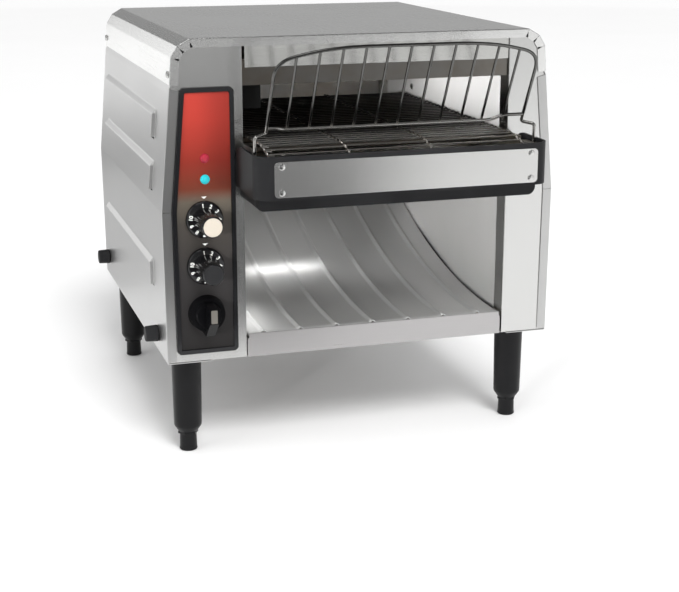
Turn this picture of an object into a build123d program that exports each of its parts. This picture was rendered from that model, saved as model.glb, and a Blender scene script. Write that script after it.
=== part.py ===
"""Conveyor toaster with a wire belt, a ribbed toast slide and a control column. Millimetres, +Z up.

The origin is on the floor, midway across the housing and midway between the rear panel and the front
of the loading rack. Bread rides the belt from the front (-Y) to the rear and slides back to the front.
"""
from build123d import *
from math import asin, atan2, cos, degrees, hypot, pi, radians, sin, sqrt
import os

# ---- Driving dimensions: overall -------------------------------------------------------------------
WIDTH = 406.4
HEIGHT = 419.1
DEPTH = 482.6
RACK_REACH = 92.6
BUMPER_REACH = 84.0
BASE_Z = 104.6
SHEET = 1.2
FIT = 0.3
SEAT = 0.05

# ---- Driving dimensions: housing outline (insets from the sides, drops from the top) -----------------
FOOT_INSET = 1.2
KINK_DROP = 163.5
SHOULDER_INSET = 11.1
COVER_EDGE_DROP = 42.7
BEVEL_INSET = 12.9
BEVEL_DROP = 17.1
CROWN_INSET = 19.5
CROWN_DROP = 6.7
TOP_INSET = 31.1
FLANGE = 9.5
COVER_FLANGE = 8.6
SLIT = 0.9
COVER_LAP = 20.0
BOTTOM_FLANGE = 44.0
BOTTOM_LOUVRE_DROP = 70.6
MIDDLE_LOUVRE_RISE = 27.4
TOP_LOUVRE_RISE = 77.4
LOUVRE_HEIGHT = 27.5
LOUVRE_FRONT = 52.0
LOUVRE_REAR = 44.0
LOUVRE_STEP = 5.0

# ---- Driving dimensions: mouth and oven -------------------------------------------------------------
MOUTH_CENTRE = 15.0
SIDE_ROOM = 132.4
HEADER_DROP = 29.1
BAFFLE_DROP = 45.9
OVEN_DROP = 23.1
JAMB = 22.0
WALL_LIP = 12.0

# ---- Driving dimensions: belt -----------------------------------------------------------------------
BELT_DROP = 98.1
BELT_MARGIN = 8.0
BELT_WIRE = 1.8
BELT_PITCH = 11.6
DRIVE_TEETH = 11
DRIVE_INSET = 102.0
NOSE_Y = 33.0
NOSE_SLOPE = 13.5
IDLER_Y = 56.0
IDLER_R = 14.0
JOINT_SHARES = (-0.1842, 0.1259)
SPROCKET_SHARE = 0.2782
SPROCKETS = 4
SHAFT_R = 5.0
ROLLER_WIDTH = 3.8

# ---- Driving dimensions: slide, tray, bumper, rack --------------------------------------------------
SLIDE_RISE = 23.4
SLIDE_RATIO = 1.7641
SLIDE_LOW_Y = 20.0
SLIDE_SWEEP = 24.0
TAIL_RATIO = 0.3077
SLIDE_END = 80.0
SLIDE_GAP = 3.2
BEAD_MARGIN = 0.173
BEAD_WIDTH = 7.0
BEAD_HEIGHT = 2.0
BEADS = 7
TRAY_INSET = 90.0
TRAY_WALL = 12.0
BUMPER_DROP = 2.0
BUMPER_HEIGHT = 40.6
BUMPER_OVERLAP = 17.5
BUMPER_WALL = 2.5
BUMPER_CORNER = 16.0
PAN_REACH = 60.0
PAN_HEIGHT = 14.4
PLATE_MARGIN = 13.2
PLATE_HEIGHT = 33.0
PLATE_DROP = 21.5
RACK_WIRE = 3.2
SLAT_WIRE = 2.6
RACK_MARGIN = 8.8
RACK_SHIFT = 1.0
RACK_LOW_RISE = 17.0
RACK_TOP_DROP = 2.7
RACK_LOW_Y = 50.0
SLATS = 11
SLAT_MARGIN = 0.87

# ---- Driving dimensions: controls -------------------------------------------------------------------
KNOB_INSET = 40.3
SPEED_Z = 247.5
POWER_Z = 201.5
FUNCTION_Z = 154.0
RED_LAMP_Z = 306.4
BLUE_LAMP_Z = 286.1
LAMP_INSET = 38.5
LAMP_R = 4.6
BEZEL_INSET = 9.0
BEZEL_DROP = 45.7
BEZEL_RISE = 8.6
BEZEL_GAP = 0.4
BEZEL_BORDER = 4.4
BEZEL_DEPTH = 3.6
OVERLAY = 0.8
SKIRT_R = 18.3
SKIRT_DEPTH = 5.0
GRIP_R = 10.6
GRIP_DEPTH = 36.0
STEM_R = 3.0
BUSHING_R = 4.75

# ---- Driving dimensions: legs and spacers -----------------------------------------------------------
LEG_INSET = 26.7
FRONT_LEG_Y = 37.0
REAR_LEG_INSET = 22.0
LEG_TOP_R = 15.2
LEG_FOOT_R = 14.1
LEG_SHOULDER_Z = 26.5
LEG_END_Z = 20.5
FOOT_R = 8.8
STUD_R = 4.0
SPACER_R = 8.5
SPACER_REACH = 13.2
FRONT_SPACER_Y = 47.0
FRONT_SPACER_RISE = 18.6
REAR_SPACER_INSET = 28.0
REAR_SPACER_RISE = 23.4
PLUG_R = 2.4
SCREW_R = 1.9
SCREW_HEAD_R = 3.4
SCREW_LENGTH = 5.0

# ---- Driving dimensions: hidden mechanism -----------------------------------------------------------
ELEMENT_R = 3.3
ELEMENT_FIRST = 70.0
UPPER_ELEMENT_DROP = 15.0
LOWER_ELEMENT_DROP = 21.0
UPPER_ELEMENTS = 5
LOWER_ELEMENTS = 4
REFLECTOR_FRONT = 40.0
REFLECTOR_DROP = 5.0
REFLECTOR_LIP = 12.0
LOWER_REFLECTOR_FRONT = 44.0
LOWER_REFLECTOR_DROP = 34.0
LOWER_REFLECTOR_LIP = 7.0
SHIELD_RISE = 26.0
SHIELD_HEIGHT = 24.0
SHIELD_REACH = 27.0
GUIDE_DROP = 51.0
GUIDE_INSET = 11.0
CHAIN_PITCH = 6.35
SHAFT_TEETH = 18
MOTOR_TEETH = 12
MOTOR_DROP = 116.0
MOTOR_INSET = 26.0
MOTOR_SHAFT_R = 4.0
FAN_SIZE = 60.0
FAN_DROP = 56.4
FAN_DEPTH = 18.0

# ---- Places worked out from the driving dimensions --------------------------------------------------
FRONT = -DEPTH / 2 + RACK_REACH
REAR = DEPTH / 2
BODY_DEPTH = REAR - FRONT
HALF = WIDTH / 2
FOOT_HALF = HALF - FOOT_INSET
KINK_Z = HEIGHT - KINK_DROP
SHOULDER_HALF = HALF - SHOULDER_INSET
COVER_EDGE_Z = HEIGHT - COVER_EDGE_DROP
BEVEL_HALF = HALF - BEVEL_INSET
BEVEL_Z = HEIGHT - BEVEL_DROP
CROWN_HALF = HALF - CROWN_INSET
CROWN_Z = HEIGHT - CROWN_DROP
TOP_HALF = HALF - TOP_INSET
MOUTH_WIDTH = WIDTH - SIDE_ROOM
HEADER_Z = HEIGHT - HEADER_DROP
BAFFLE_Z = HEIGHT - BAFFLE_DROP
OVEN_TOP_Z = HEIGHT - OVEN_DROP
BELT_TOP_Z = HEIGHT - BELT_DROP
BELT_WIDTH = MOUTH_WIDTH - BELT_MARGIN
DRIVE_Y = BODY_DEPTH - DRIVE_INSET
SLIDE_Z = BASE_Z + SLIDE_RISE
SLIDE_R = SLIDE_RATIO * BODY_DEPTH
SLIDE_TAIL_R = TAIL_RATIO * BODY_DEPTH
BEAD_PITCH = MOUTH_WIDTH / (BEADS + BEAD_MARGIN)
TRAY_LENGTH = BODY_DEPTH - TRAY_INSET
BUMPER_TOP_Z = BELT_TOP_Z - BUMPER_DROP
BUMPER_BOTTOM_Z = BUMPER_TOP_Z - BUMPER_HEIGHT
BUMPER_WIDTH = MOUTH_WIDTH + BUMPER_OVERLAP
PAN_Z = BUMPER_BOTTOM_Z - PAN_HEIGHT
PLATE_WIDTH = MOUTH_WIDTH - PLATE_MARGIN
PLATE_Z = BUMPER_TOP_Z - PLATE_DROP
RACK_HALF = MOUTH_WIDTH / 2 - RACK_MARGIN
RACK_CENTRE = MOUTH_CENTRE + RACK_SHIFT
RACK_LOW_Z = BELT_TOP_Z + RACK_LOW_RISE
RACK_TOP_Z = HEIGHT - RACK_TOP_DROP
SLAT_PITCH = 2 * RACK_HALF / (SLATS + SLAT_MARGIN)
RACK_LEAN = (RACK_REACH - RACK_WIRE / 2 - RACK_LOW_Y) / (RACK_TOP_Z - RACK_LOW_Z)
PANEL_FRONT = FRONT + SHEET
PANEL_BACK = FRONT + 2 * SHEET
TAIL_Y = FRONT + SLIDE_LOW_Y + (SLIDE_R - SLIDE_TAIL_R) * sin(radians(SLIDE_SWEEP))
TAIL_Z = SLIDE_Z + SLIDE_R - (SLIDE_R - SLIDE_TAIL_R) * cos(radians(SLIDE_SWEEP))
GUIDE_FRONT = TAIL_Y + (SLIDE_TAIL_R + SHEET) * sin(radians(SLIDE_END)) + FIT
GUIDE_BACK = GUIDE_FRONT + SHEET
LEFT = MOUTH_CENTRE - MOUTH_WIDTH / 2
RIGHT = MOUTH_CENTRE + MOUTH_WIDTH / 2
WALL_LEFT = LEFT - SHEET
WALL_RIGHT = RIGHT + SHEET
KNOB_X = LEFT - KNOB_INSET
LAMP_X = LEFT - LAMP_INSET
BEZEL_RIGHT = LEFT - BEZEL_INSET
BEZEL_TOP_Z = HEIGHT - BEZEL_DROP
BEZEL_BOTTOM_Z = BASE_Z + BEZEL_RISE
LEG_X = HALF - LEG_INSET
REAR_LEG_Y = BODY_DEPTH - REAR_LEG_INSET
SPACER_PLACES = (
    (FRONT_SPACER_Y, BASE_Z + FRONT_SPACER_RISE),
    (BODY_DEPTH - REAR_SPACER_INSET, BASE_Z + REAR_SPACER_RISE),
)
UPPER_ELEMENT_Z = OVEN_TOP_Z - UPPER_ELEMENT_DROP
LOWER_ELEMENT_Z = BELT_TOP_Z - LOWER_ELEMENT_DROP
REFLECTOR_Z = OVEN_TOP_Z - REFLECTOR_DROP
LOWER_REFLECTOR_Z = BELT_TOP_Z - LOWER_REFLECTOR_DROP
MOTOR_Z = BELT_TOP_Z - MOTOR_DROP
MOTOR_Y = DRIVE_Y - MOTOR_INSET
FAN_Z = COVER_EDGE_Z - FAN_DROP
BASE_TOP = BASE_Z + SHEET
SIDE = [(FOOT_HALF, BASE_Z), (HALF, KINK_Z), (SHOULDER_HALF, COVER_EDGE_Z)]
CROWN = [(SHOULDER_HALF, COVER_EDGE_Z), (BEVEL_HALF, BEVEL_Z), (CROWN_HALF, CROWN_Z), (TOP_HALF, HEIGHT)]
BELT_Z = BELT_TOP_Z - BELT_WIRE / 2
BELT_LEFT = MOUTH_CENTRE - BELT_WIDTH / 2
BELT_RIGHT = MOUTH_CENTRE + BELT_WIDTH / 2
DRIVE_R = BELT_PITCH / (2 * sin(pi / DRIVE_TEETH))
DRIVE = (FRONT + DRIVE_Y, BELT_Z - DRIVE_R)
RAIL_LEFT = LEFT
RAIL_RIGHT = RIGHT
RAIL_SHEET = 1.8
BUSH_WALL = 3.0
SHAFT_LEFT = WALL_LEFT - SHEET - 14.0
CHAIN_X = SHAFT_LEFT + 5.0
CHAIN_WIDTH = 3.0


# ---- Basic forms ------------------------------------------------------------------------------------
def block(x0, x1, y0, y1, z0, z1):
    """Rectangular block between the given limits."""
    size = Box(x1 - x0, y1 - y0, z1 - z0)
    return Pos((x0 + x1) / 2, (y0 + y1) / 2, (z0 + z1) / 2) * size


def rod_x(x0, x1, y, z, r):
    """Round bar along X."""
    return Pos((x0 + x1) / 2, y, z) * Rot(0, 90, 0) * Cylinder(r, abs(x1 - x0))


def rod_y(x, y0, y1, z, r):
    """Round bar along Y."""
    return Pos(x, (y0 + y1) / 2, z) * Rot(90, 0, 0) * Cylinder(r, abs(y1 - y0))


def rod_z(x, y, z0, z1, r):
    """Round bar along Z."""
    return Pos(x, y, (z0 + z1) / 2) * Cylinder(r, abs(z1 - z0))


def cone_y(x, y0, y1, z, r0, r1):
    """Tapered bar along -Y from y0 (radius r0) to y1 (radius r1), with y1 in front of y0."""
    return Pos(x, (y0 + y1) / 2, z) * Rot(90, 0, 0) * Cone(r0, r1, abs(y1 - y0))


def cone_z(x, y, z0, z1, r0, r1):
    """Tapered bar along Z."""
    return Pos(x, y, (z0 + z1) / 2) * Cone(r0, r1, abs(z1 - z0))


def slab_y(outline, y0, y1):
    """Closed outline of (x, z) points, extruded from y0 to y1."""
    face = make_face(Polyline(*[(x, y0, z) for x, z in outline], close=True))
    return extrude(face, amount=y1 - y0, dir=(0, 1, 0))


def slab_x(outline, x0, x1):
    """Closed outline of (y, z) points, extruded from x0 to x1."""
    face = make_face(Polyline(*[(x0, y, z) for y, z in outline], close=True))
    return extrude(face, amount=x1 - x0, dir=(1, 0, 0))


def offset_path(path, distance):
    """Open path of 2-D points moved sideways (to the left of its direction) with mitred corners."""
    normals = []
    for (a, b), (c, d) in zip(path, path[1:]):
        length = hypot(c - a, d - b)
        normals.append(((b - d) / length, (c - a) / length))
    moved = []
    for i, (a, b) in enumerate(path):
        first = normals[max(i - 1, 0)]
        second = normals[min(i, len(normals) - 1)]
        scale = distance / (1 + first[0] * second[0] + first[1] * second[1])
        moved.append((a + (first[0] + second[0]) * scale, b + (first[1] + second[1]) * scale))
    return moved


def folded(path, thickness):
    """Closed outline of a folded sheet: the path and its mitred offset to the left."""
    return path + offset_path(path, thickness)[::-1]


def offset_ring(ring, distance):
    """Closed outline moved sideways (to the left of its direction) with mitred corners."""
    return offset_path([ring[-1]] + ring + [ring[0]], distance)[1:-1]


def half_width(z):
    """Outer half width of the housing at height z."""
    points = SIDE + CROWN[1:]
    for (a, b), (c, d) in zip(points, points[1:]):
        if z <= d:
            return a + (c - a) * (z - b) / (d - b)
    return TOP_HALF


def mirrored(part):
    """Mirror image across the housing's middle plane."""
    return mirror(part, about=Plane.YZ)


def union(parts):
    """All the given solids as one."""
    whole = parts[0]
    for part in parts[1:]:
        whole = whole + part
    return whole


def group(parts):
    """Separate solids kept together in one node."""
    solids = []
    for part in parts:
        solids += part.solids()
    return Compound(solids)


# ---- Housing ----------------------------------------------------------------------------------------
LEG_PLACES = [(sx * LEG_X, FRONT + y) for y in (FRONT_LEG_Y, REAR_LEG_Y) for sx in (-1, 1)]
BASE_HALF = FOOT_HALF - SHEET - SEAT


def base_pan():
    """Shallow tray that closes the housing below: turned-up rim, open where the crumb tray goes in."""
    y0 = PANEL_BACK + SEAT
    y1 = REAR - 2 * SHEET - SEAT
    rim = 14.0
    pan = block(-BASE_HALF, BASE_HALF, y0, y1, BASE_Z, BASE_Z + rim)
    pan -= block(-BASE_HALF + SHEET, BASE_HALF - SHEET, y0 + SHEET, y1 - SHEET, BASE_TOP, BASE_Z + 2 * rim)
    gap = SHEET + SEAT
    pan -= block(WALL_LEFT - gap, WALL_RIGHT + gap, y0 - 1, y0 + 2 * SHEET, BASE_TOP, BASE_Z + 2 * rim)
    for x, y in LEG_PLACES:
        pan -= rod_z(x, y, BASE_Z - 1, BASE_TOP + 1, STUD_R + FIT)
    return pan


def crown_path():
    """Cover outline from the left edge over the top to the right edge."""
    left = [(-x, z) for x, z in CROWN]
    right = [(x, z) for x, z in CROWN[::-1]]
    return left + right


def bend_slits(y0, y1):
    """Cutters for the relief slits of the cover's front flange, one at each bend."""
    cuts = []
    for side in (-1, 1):
        for (a, b), (c, d), (e, f) in zip(CROWN, CROWN[1:], CROWN[2:] + [(0, HEIGHT)]):
            lean = (atan2(d - b, c - a) + atan2(f - d, e - c)) / 2
            cutter = Rot(0, degrees(-lean), 0) * Box(SLIT, y1 - y0, 2 * FLANGE)
            cuts.append(Pos(side * c, (y0 + y1) / 2, d) * (cutter if side > 0 else mirrored(cutter)))
    return cuts


def flange_strip(path, y0, y1, width):
    """Return flange: a flat strip inside the path, between y0 and y1."""
    return slab_y(folded(path, -width), y0, y1)


def top_cover():
    """Folded cover: flat top, two bevels and a skirt on each side, with slit return flanges."""
    path = crown_path()
    sheet = slab_y(folded(path, -SHEET), FRONT, REAR)
    front = flange_strip(path, FRONT, PANEL_FRONT, COVER_FLANGE)
    rear = flange_strip(path, REAR - SHEET, REAR, FLANGE)
    for cut in bend_slits(FRONT - 1, PANEL_FRONT + 1):
        front -= cut
    cover = union([sheet, front, rear])
    for x, y, z in cover_screw_places():
        cover -= rod_x(x - 8, x + 8, y, z, SCREW_R + SEAT)
    return cover


def cover_screw_places():
    """Centres of the four cover screws on the skirt's outer face."""
    z = COVER_EDGE_Z + 9.3
    return [(side * half_width(z), y, z) for side in (-1, 1) for y in (FRONT + 6.8, REAR - 7.0)]


def side_path():
    """Left side panel outline, from its bottom flange to its upper edge below the cover."""
    return [
        (-FOOT_HALF + BOTTOM_FLANGE, BASE_Z - SHEET),
        (-FOOT_HALF, BASE_Z - SHEET),
        (-HALF, KINK_Z),
        (-half_width(LIP_Z), LIP_Z),
    ]


def lip_path():
    """Outline of the panel's set-back lip, which the cover laps over."""
    joggle = SHEET + SEAT
    bend = LIP_Z + 3.0
    top = COVER_EDGE_Z + COVER_LAP
    foot = (-half_width(LIP_Z), LIP_Z)
    return [foot, (-half_width(bend) + joggle, bend), (-half_width(top) + joggle, top)]


LIP_Z = COVER_EDGE_Z - 3.4
LOUVRE_END = BODY_DEPTH - LOUVRE_REAR
LOUVRES = [
    (KINK_Z + TOP_LOUVRE_RISE, LOUVRE_FRONT + LOUVRE_STEP, BODY_DEPTH - 30.0),
    (KINK_Z + MIDDLE_LOUVRE_RISE, LOUVRE_FRONT, LOUVRE_END),
    (KINK_Z - BOTTOM_LOUVRE_DROP, LOUVRE_FRONT + LOUVRE_STEP, LOUVRE_END),
]
LOUVRE_LIFT = 3.6
LOUVRE_BEVEL = 5.0


def louvre(z, y0, y1):
    """Window and raised flap of one louvre in the left panel, hinged along its upper edge."""
    above = half_width(z + 5)
    below = half_width(z - 5)
    lean = atan2(below - above, 10)
    plane = Plane(
        origin=(-half_width(z), FRONT + (y0 + y1) / 2, z),
        x_dir=(0, -1, 0),
        z_dir=(-cos(lean), 0, sin(lean)),
    )
    length = y1 - y0
    window = Box(length, LOUVRE_HEIGHT, 4 * SHEET)
    top = LOUVRE_HEIGHT / 2
    path = [(top + 2, 0), (top, 0), (top - LOUVRE_BEVEL, LOUVRE_LIFT), (-top, LOUVRE_LIFT)]
    outline = folded(path, SHEET)
    face = make_face(Polyline(*[(-length / 2, v, w) for v, w in outline], close=True))
    flap = extrude(face, amount=length, dir=(1, 0, 0))
    return plane.location * window, plane.location * flap


def left_side_panel():
    """Side panel: kinked sheet with three louvres, bottom flange and slit front and rear flanges."""
    path = side_path()
    sheet = slab_y(folded(path, -SHEET), FRONT, REAR)
    lip = slab_y(folded(lip_path(), -SHEET), PANEL_BACK + FIT, REAR - 2 * SHEET - FIT)
    edge = path[1:]
    front = flange_strip(edge, FRONT, PANEL_FRONT, FLANGE)
    rear = flange_strip(edge, REAR - SHEET, REAR, FLANGE)
    gap = SLIT / 2
    relief = block(-HALF - 1, -HALF + 2 * FLANGE, FRONT - 1, PANEL_FRONT + 1, KINK_Z - gap, KINK_Z + gap)
    panel = union([sheet, lip, front - relief, rear])
    for z, y0, y1 in LOUVRES:
        window, flap = louvre(z, y0, y1)
        panel = panel - window + flap
    for y, z in SPACER_PLACES:
        panel -= rod_x(-HALF - 5, -HALF + 8, FRONT + y, z, PLUG_R + SEAT)
    for x, y, z in cover_screw_places():
        panel -= rod_x(x - 8, x + 8, y, z, SCREW_R + SEAT)
    for x, y in LEG_PLACES:
        panel -= rod_z(x, y, BASE_Z - 2 * SHEET, BASE_TOP, STUD_R + FIT)
    return panel


def front_blank(y0, y1):
    """Flat sheet that fills the housing's outline just inside the outer skin."""
    inset = SHEET + SEAT
    half = [(-x, z) for x, z in SIDE + CROWN[1:]]
    outline = half + [(-x, z) for x, z in half[::-1]]
    path = offset_path(outline, -inset)
    return slab_y(path, y0, y1) - block(-HALF, HALF, y0 - 1, y1 + 1, BASE_Z - 5, BASE_Z)


def front_columns():
    """Left and right front columns, each with a jamb flange turned back at the mouth."""
    blank = front_blank(PANEL_FRONT, PANEL_BACK)
    jamb_top = HEIGHT - SHEET - SEAT
    left = blank & block(-HALF, LEFT, FRONT, FRONT + 10, BASE_Z, HEIGHT)
    left += block(LEFT - SHEET, LEFT, PANEL_FRONT, FRONT + JAMB, BASE_TOP + SEAT, jamb_top)
    for z in (SPEED_Z, POWER_Z, FUNCTION_Z):
        left -= rod_y(KNOB_X, FRONT - 1, FRONT + 10, z, BUSHING_R + SEAT)
    for z in (RED_LAMP_Z, BLUE_LAMP_Z):
        left -= rod_y(LAMP_X, FRONT - 1, FRONT + 10, z, LAMP_R + SEAT)
    right = blank & block(RIGHT, HALF, FRONT, FRONT + 10, BASE_Z, HEIGHT)
    right += block(RIGHT, RIGHT + SHEET, PANEL_FRONT, FRONT + JAMB, BASE_TOP + SEAT, jamb_top)
    return left, right


def header_panel():
    """Polished panel across the top of the mouth, hung from a lip under the cover."""
    y = FRONT + 3.0
    top = HEIGHT - SHEET - SEAT
    path = [(y, HEADER_Z), (y, top), (y + 16.0, top)]
    return slab_x(folded(path, -SHEET), LEFT + FIT * 10, RIGHT - FIT)


def header_baffle():
    """Channel under the header panel that keeps the heat in, open at its ends."""
    y = FRONT + 3.0 + SHEET + SEAT
    path = [(y, HEADER_Z + 8), (y, BAFFLE_Z), (y + 14.0, BAFFLE_Z), (y + 14.0, BAFFLE_Z + 10)]
    return slab_x(folded(path, SHEET), LEFT + FIT, RIGHT - FIT)


def rear_panel():
    """Rear sheet with two fields of cooling slots, the fan grille and the cord hole."""
    panel = front_blank(REAR - 2 * SHEET, REAR - SHEET)
    slots = []
    for row in range(6):
        for column in range(4):
            x = 30 + 34 * column
            z = BASE_Z + 25.4 + 9 * row
            slots.append(block(x - 12, x + 12, REAR - 5, REAR + 1, z, z + 3.5))
    for cut in slots:
        panel -= cut
    for k in range(-3, 4):
        reach = sqrt((FAN_SIZE / 2 - 4) ** 2 - (k * 7) ** 2)
        z = FAN_Z + k * 7
        panel -= block(FAN_X - reach, FAN_X + reach, REAR - 5, REAR + 1, z - 1.8, z + 1.8)
    panel -= rod_y(GLAND_X, REAR - 5, REAR + 1, GLAND_Z, GLAND_R + SEAT)
    return panel


FAN_X = (-HALF + WALL_LEFT) / 2
GLAND_X = FAN_X
GLAND_Z = BASE_Z + 35.4
GLAND_R = 9.0


def cord_gland():
    """Plastic bush of the cord inlet, snapped into the rear panel."""
    y = REAR - SHEET
    body = rod_y(GLAND_X, y - 12, y, GLAND_Z, GLAND_R)
    collar = rod_y(GLAND_X, y, y + SHEET - SEAT, GLAND_Z, GLAND_R + 2.5)
    return body + collar - rod_y(GLAND_X, y - 20, y + 5, GLAND_Z, 4.2)


# ---- Oven -------------------------------------------------------------------------------------------
ELEMENT_LAST = DRIVE_Y - 38.0
CERAMIC_R = 6.0
PIN_R = 1.4


def element_places(count, z):
    """(y, z) of the heating rods of one bank."""
    step = (ELEMENT_LAST - ELEMENT_FIRST) / (count - 1)
    return [(FRONT + ELEMENT_FIRST + step * k, z) for k in range(count)]


UPPER_BANK = element_places(UPPER_ELEMENTS, UPPER_ELEMENT_Z)
LOWER_BANK = element_places(LOWER_ELEMENTS, LOWER_ELEMENT_Z)


def oven_wall(x_in, x_out, lip, holes):
    """Upright inner wall with a top lip, pierced for the rods, the bearings and the screws."""
    y0 = PANEL_BACK + SEAT
    y1 = GUIDE_BACK
    wall = block(x_in, x_out, y0, y1, BASE_TOP + SEAT, OVEN_TOP_Z)
    wall += block(min(x_in, lip), max(x_in, lip), y0 + JAMB, y1, OVEN_TOP_Z - SHEET, OVEN_TOP_Z)
    for y, z, r in holes:
        wall -= rod_x(min(x_in, x_out) - 1, max(x_in, x_out) + 1, y, z, r)
    return wall


def wall_holes():
    """Holes that both oven walls share: heating rods and the drive shaft's bearing."""
    holes = [(y, z, CERAMIC_R + SEAT) for y, z in UPPER_BANK + LOWER_BANK]
    holes.append((DRIVE[0], DRIVE[1], SHAFT_R + BUSH_WALL + SEAT))
    return holes


def left_oven_wall():
    """Left inner wall, between the oven and the control compartment."""
    return oven_wall(WALL_LEFT - SHEET, WALL_LEFT, WALL_LEFT - WALL_LIP, wall_holes())


def right_oven_wall():
    """Right inner wall."""
    holes = wall_holes() + [(SCREW_Y, SCREW_Z, SCREW_R + SEAT)]
    return oven_wall(WALL_RIGHT, WALL_RIGHT + SHEET, WALL_RIGHT + WALL_LIP, holes)


SCREW_Y = DRIVE[0] - 5.0
SCREW_Z = BELT_TOP_Z + 7.0
GUIDE_Z = BELT_TOP_Z - GUIDE_DROP


def rear_guide():
    """Rear deflector that turns the toast down to the slide, with a stiffening flange near each side."""
    y = GUIDE_BACK
    guide = block(WALL_LEFT, WALL_RIGHT, GUIDE_FRONT, y, GUIDE_Z, OVEN_TOP_Z)
    for x in (WALL_LEFT + GUIDE_INSET, WALL_RIGHT - GUIDE_INSET - SHEET):
        guide += block(x, x + SHEET, y - 14.0, y, TAIL_Z + 12.0, OVEN_TOP_Z)
    return guide


def sensor_shield():
    """Dark guard in the upper left corner of the mouth, folded from the left oven wall's side."""
    y = FRONT + JAMB + 12.0
    path = [(WALL_LEFT, y - 10.0), (WALL_LEFT, y), (WALL_LEFT + SHIELD_REACH, y)]
    z = BELT_TOP_Z + SHIELD_RISE
    outline = folded(path, -SHEET)
    face = make_face(Polyline(*[(a, b, z) for a, b in outline], close=True))
    return extrude(face, amount=SHIELD_HEIGHT, dir=(0, 0, 1))


def upper_reflector():
    """Inverted tray above the upper rods."""
    y0 = FRONT + REFLECTOR_FRONT
    y1 = DRIVE[0] - 6.0
    low = REFLECTOR_Z - REFLECTOR_LIP
    tray = block(WALL_LEFT + SEAT, WALL_RIGHT - SEAT, y0, y1, low, REFLECTOR_Z)
    return tray - block(WALL_LEFT, WALL_RIGHT, y0 + SHEET, y1 - SHEET, low - 1, REFLECTOR_Z - SHEET)


def lower_reflector():
    """Shallow tray under the lower rods, inside the belt's loop, hung between the belt rails."""
    y0 = FRONT + LOWER_REFLECTOR_FRONT
    y1 = DRIVE[0] - 30.0
    lip = LOWER_REFLECTOR_LIP
    x0 = RAIL_LEFT + RAIL_SHEET + SEAT
    x1 = RAIL_RIGHT - RAIL_SHEET - SEAT
    z = LOWER_REFLECTOR_Z
    tray = block(x0, x1, y0, y1, z, z + lip)
    return tray - block(x0 - 1, x1 + 1, y0 + SHEET, y1 - SHEET, z + SHEET, z + 2 * lip)


def heating_elements(places):
    """Sheathed rods across the oven with thin terminal pins at both ends."""
    rods = []
    for y, z in places:
        rod = rod_x(WALL_LEFT - 6, WALL_RIGHT + 6, y, z, ELEMENT_R)
        rod += rod_x(WALL_LEFT - 13, WALL_LEFT - 6, y, z, PIN_R)
        rod += rod_x(WALL_RIGHT + 6, WALL_RIGHT + 13, y, z, PIN_R)
        rods.append(rod)
    return group(rods)


def element_bushes():
    """Ceramic bushes that carry the heating rods in the oven walls."""
    bushes = []
    for y, z in UPPER_BANK + LOWER_BANK:
        for inner, outward in ((WALL_LEFT, -1), (WALL_RIGHT, 1)):
            bush = rod_x(inner, inner + outward * 5.0, y, z, CERAMIC_R)
            collar = rod_x(inner + outward * (SHEET + SEAT), inner + outward * 3.5, y, z, CERAMIC_R + 1.6)
            bushes.append(bush + collar - rod_x(inner - 9, inner + 9, y, z, ELEMENT_R + SEAT))
    return group(bushes)


def slide_bracket():
    """Angle across the oven that carries the front of the toast slide."""
    y = FRONT + 8.0
    seat = SLIDE_Z - SHEET - SEAT
    path = [(y, seat - 5.0), (y, seat), (y + 12.0, seat)]
    return slab_x(folded(path, -SHEET), LEFT + SEAT, RIGHT - SEAT)


# ---- Toast slide and crumb tray ---------------------------------------------------------------------
SLIDE_CENTRE_Y = FRONT + SLIDE_LOW_Y
SLIDE_CENTRE_Z = SLIDE_Z + SLIDE_R
SLIDE_LEFT = WALL_LEFT + SLIDE_GAP
SLIDE_RIGHT = WALL_RIGHT - SLIDE_GAP - 1.0


def slide_height(y):
    """Height of the slide's upper face at y, on its long arc."""
    return SLIDE_CENTRE_Z - sqrt(SLIDE_R ** 2 - (y - SLIDE_CENTRE_Y) ** 2)


def slide_section():
    """Cross-section of the beaded sheet as (x, height above the plain sheet's upper face) points."""
    top = [(SLIDE_LEFT, 0)]
    middle = MOUTH_CENTRE - 5.0
    for k in range(BEADS):
        x = middle + (k - (BEADS - 1) / 2) * BEAD_PITCH
        top.append((x - BEAD_WIDTH / 2, 0))
        top.append((x - BEAD_WIDTH / 5, BEAD_HEIGHT))
        top.append((x + BEAD_WIDTH / 5, BEAD_HEIGHT))
        top.append((x + BEAD_WIDTH / 2, 0))
    top.append((SLIDE_RIGHT, 0))
    return folded(top, -SHEET)


def swept_section(axis_y, axis_z, radius, start, sweep):
    """Beaded section swept about an X axis, from an angle ahead of straight down, towards +Y."""
    points = []
    for x, rise in slide_section():
        r = radius - rise
        points.append((x, axis_y + r * sin(radians(start)), axis_z - r * cos(radians(start))))
    face = make_face(Polyline(*points, close=True))
    return revolve(face, axis=Axis((0, axis_y, axis_z), (1, 0, 0)), revolution_arc=sweep)


def toast_slide():
    """Concave beaded slide: a long shallow arc from the front lip that tightens towards the rear."""
    start = -degrees(asin((SLIDE_LOW_Y - SHEET - SEAT) / SLIDE_R))
    long_arc = swept_section(SLIDE_CENTRE_Y, SLIDE_CENTRE_Z, SLIDE_R, start, SLIDE_SWEEP - start)
    tail = swept_section(TAIL_Y, TAIL_Z, SLIDE_TAIL_R, SLIDE_SWEEP, SLIDE_END - SLIDE_SWEEP)
    return long_arc + tail


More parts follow.
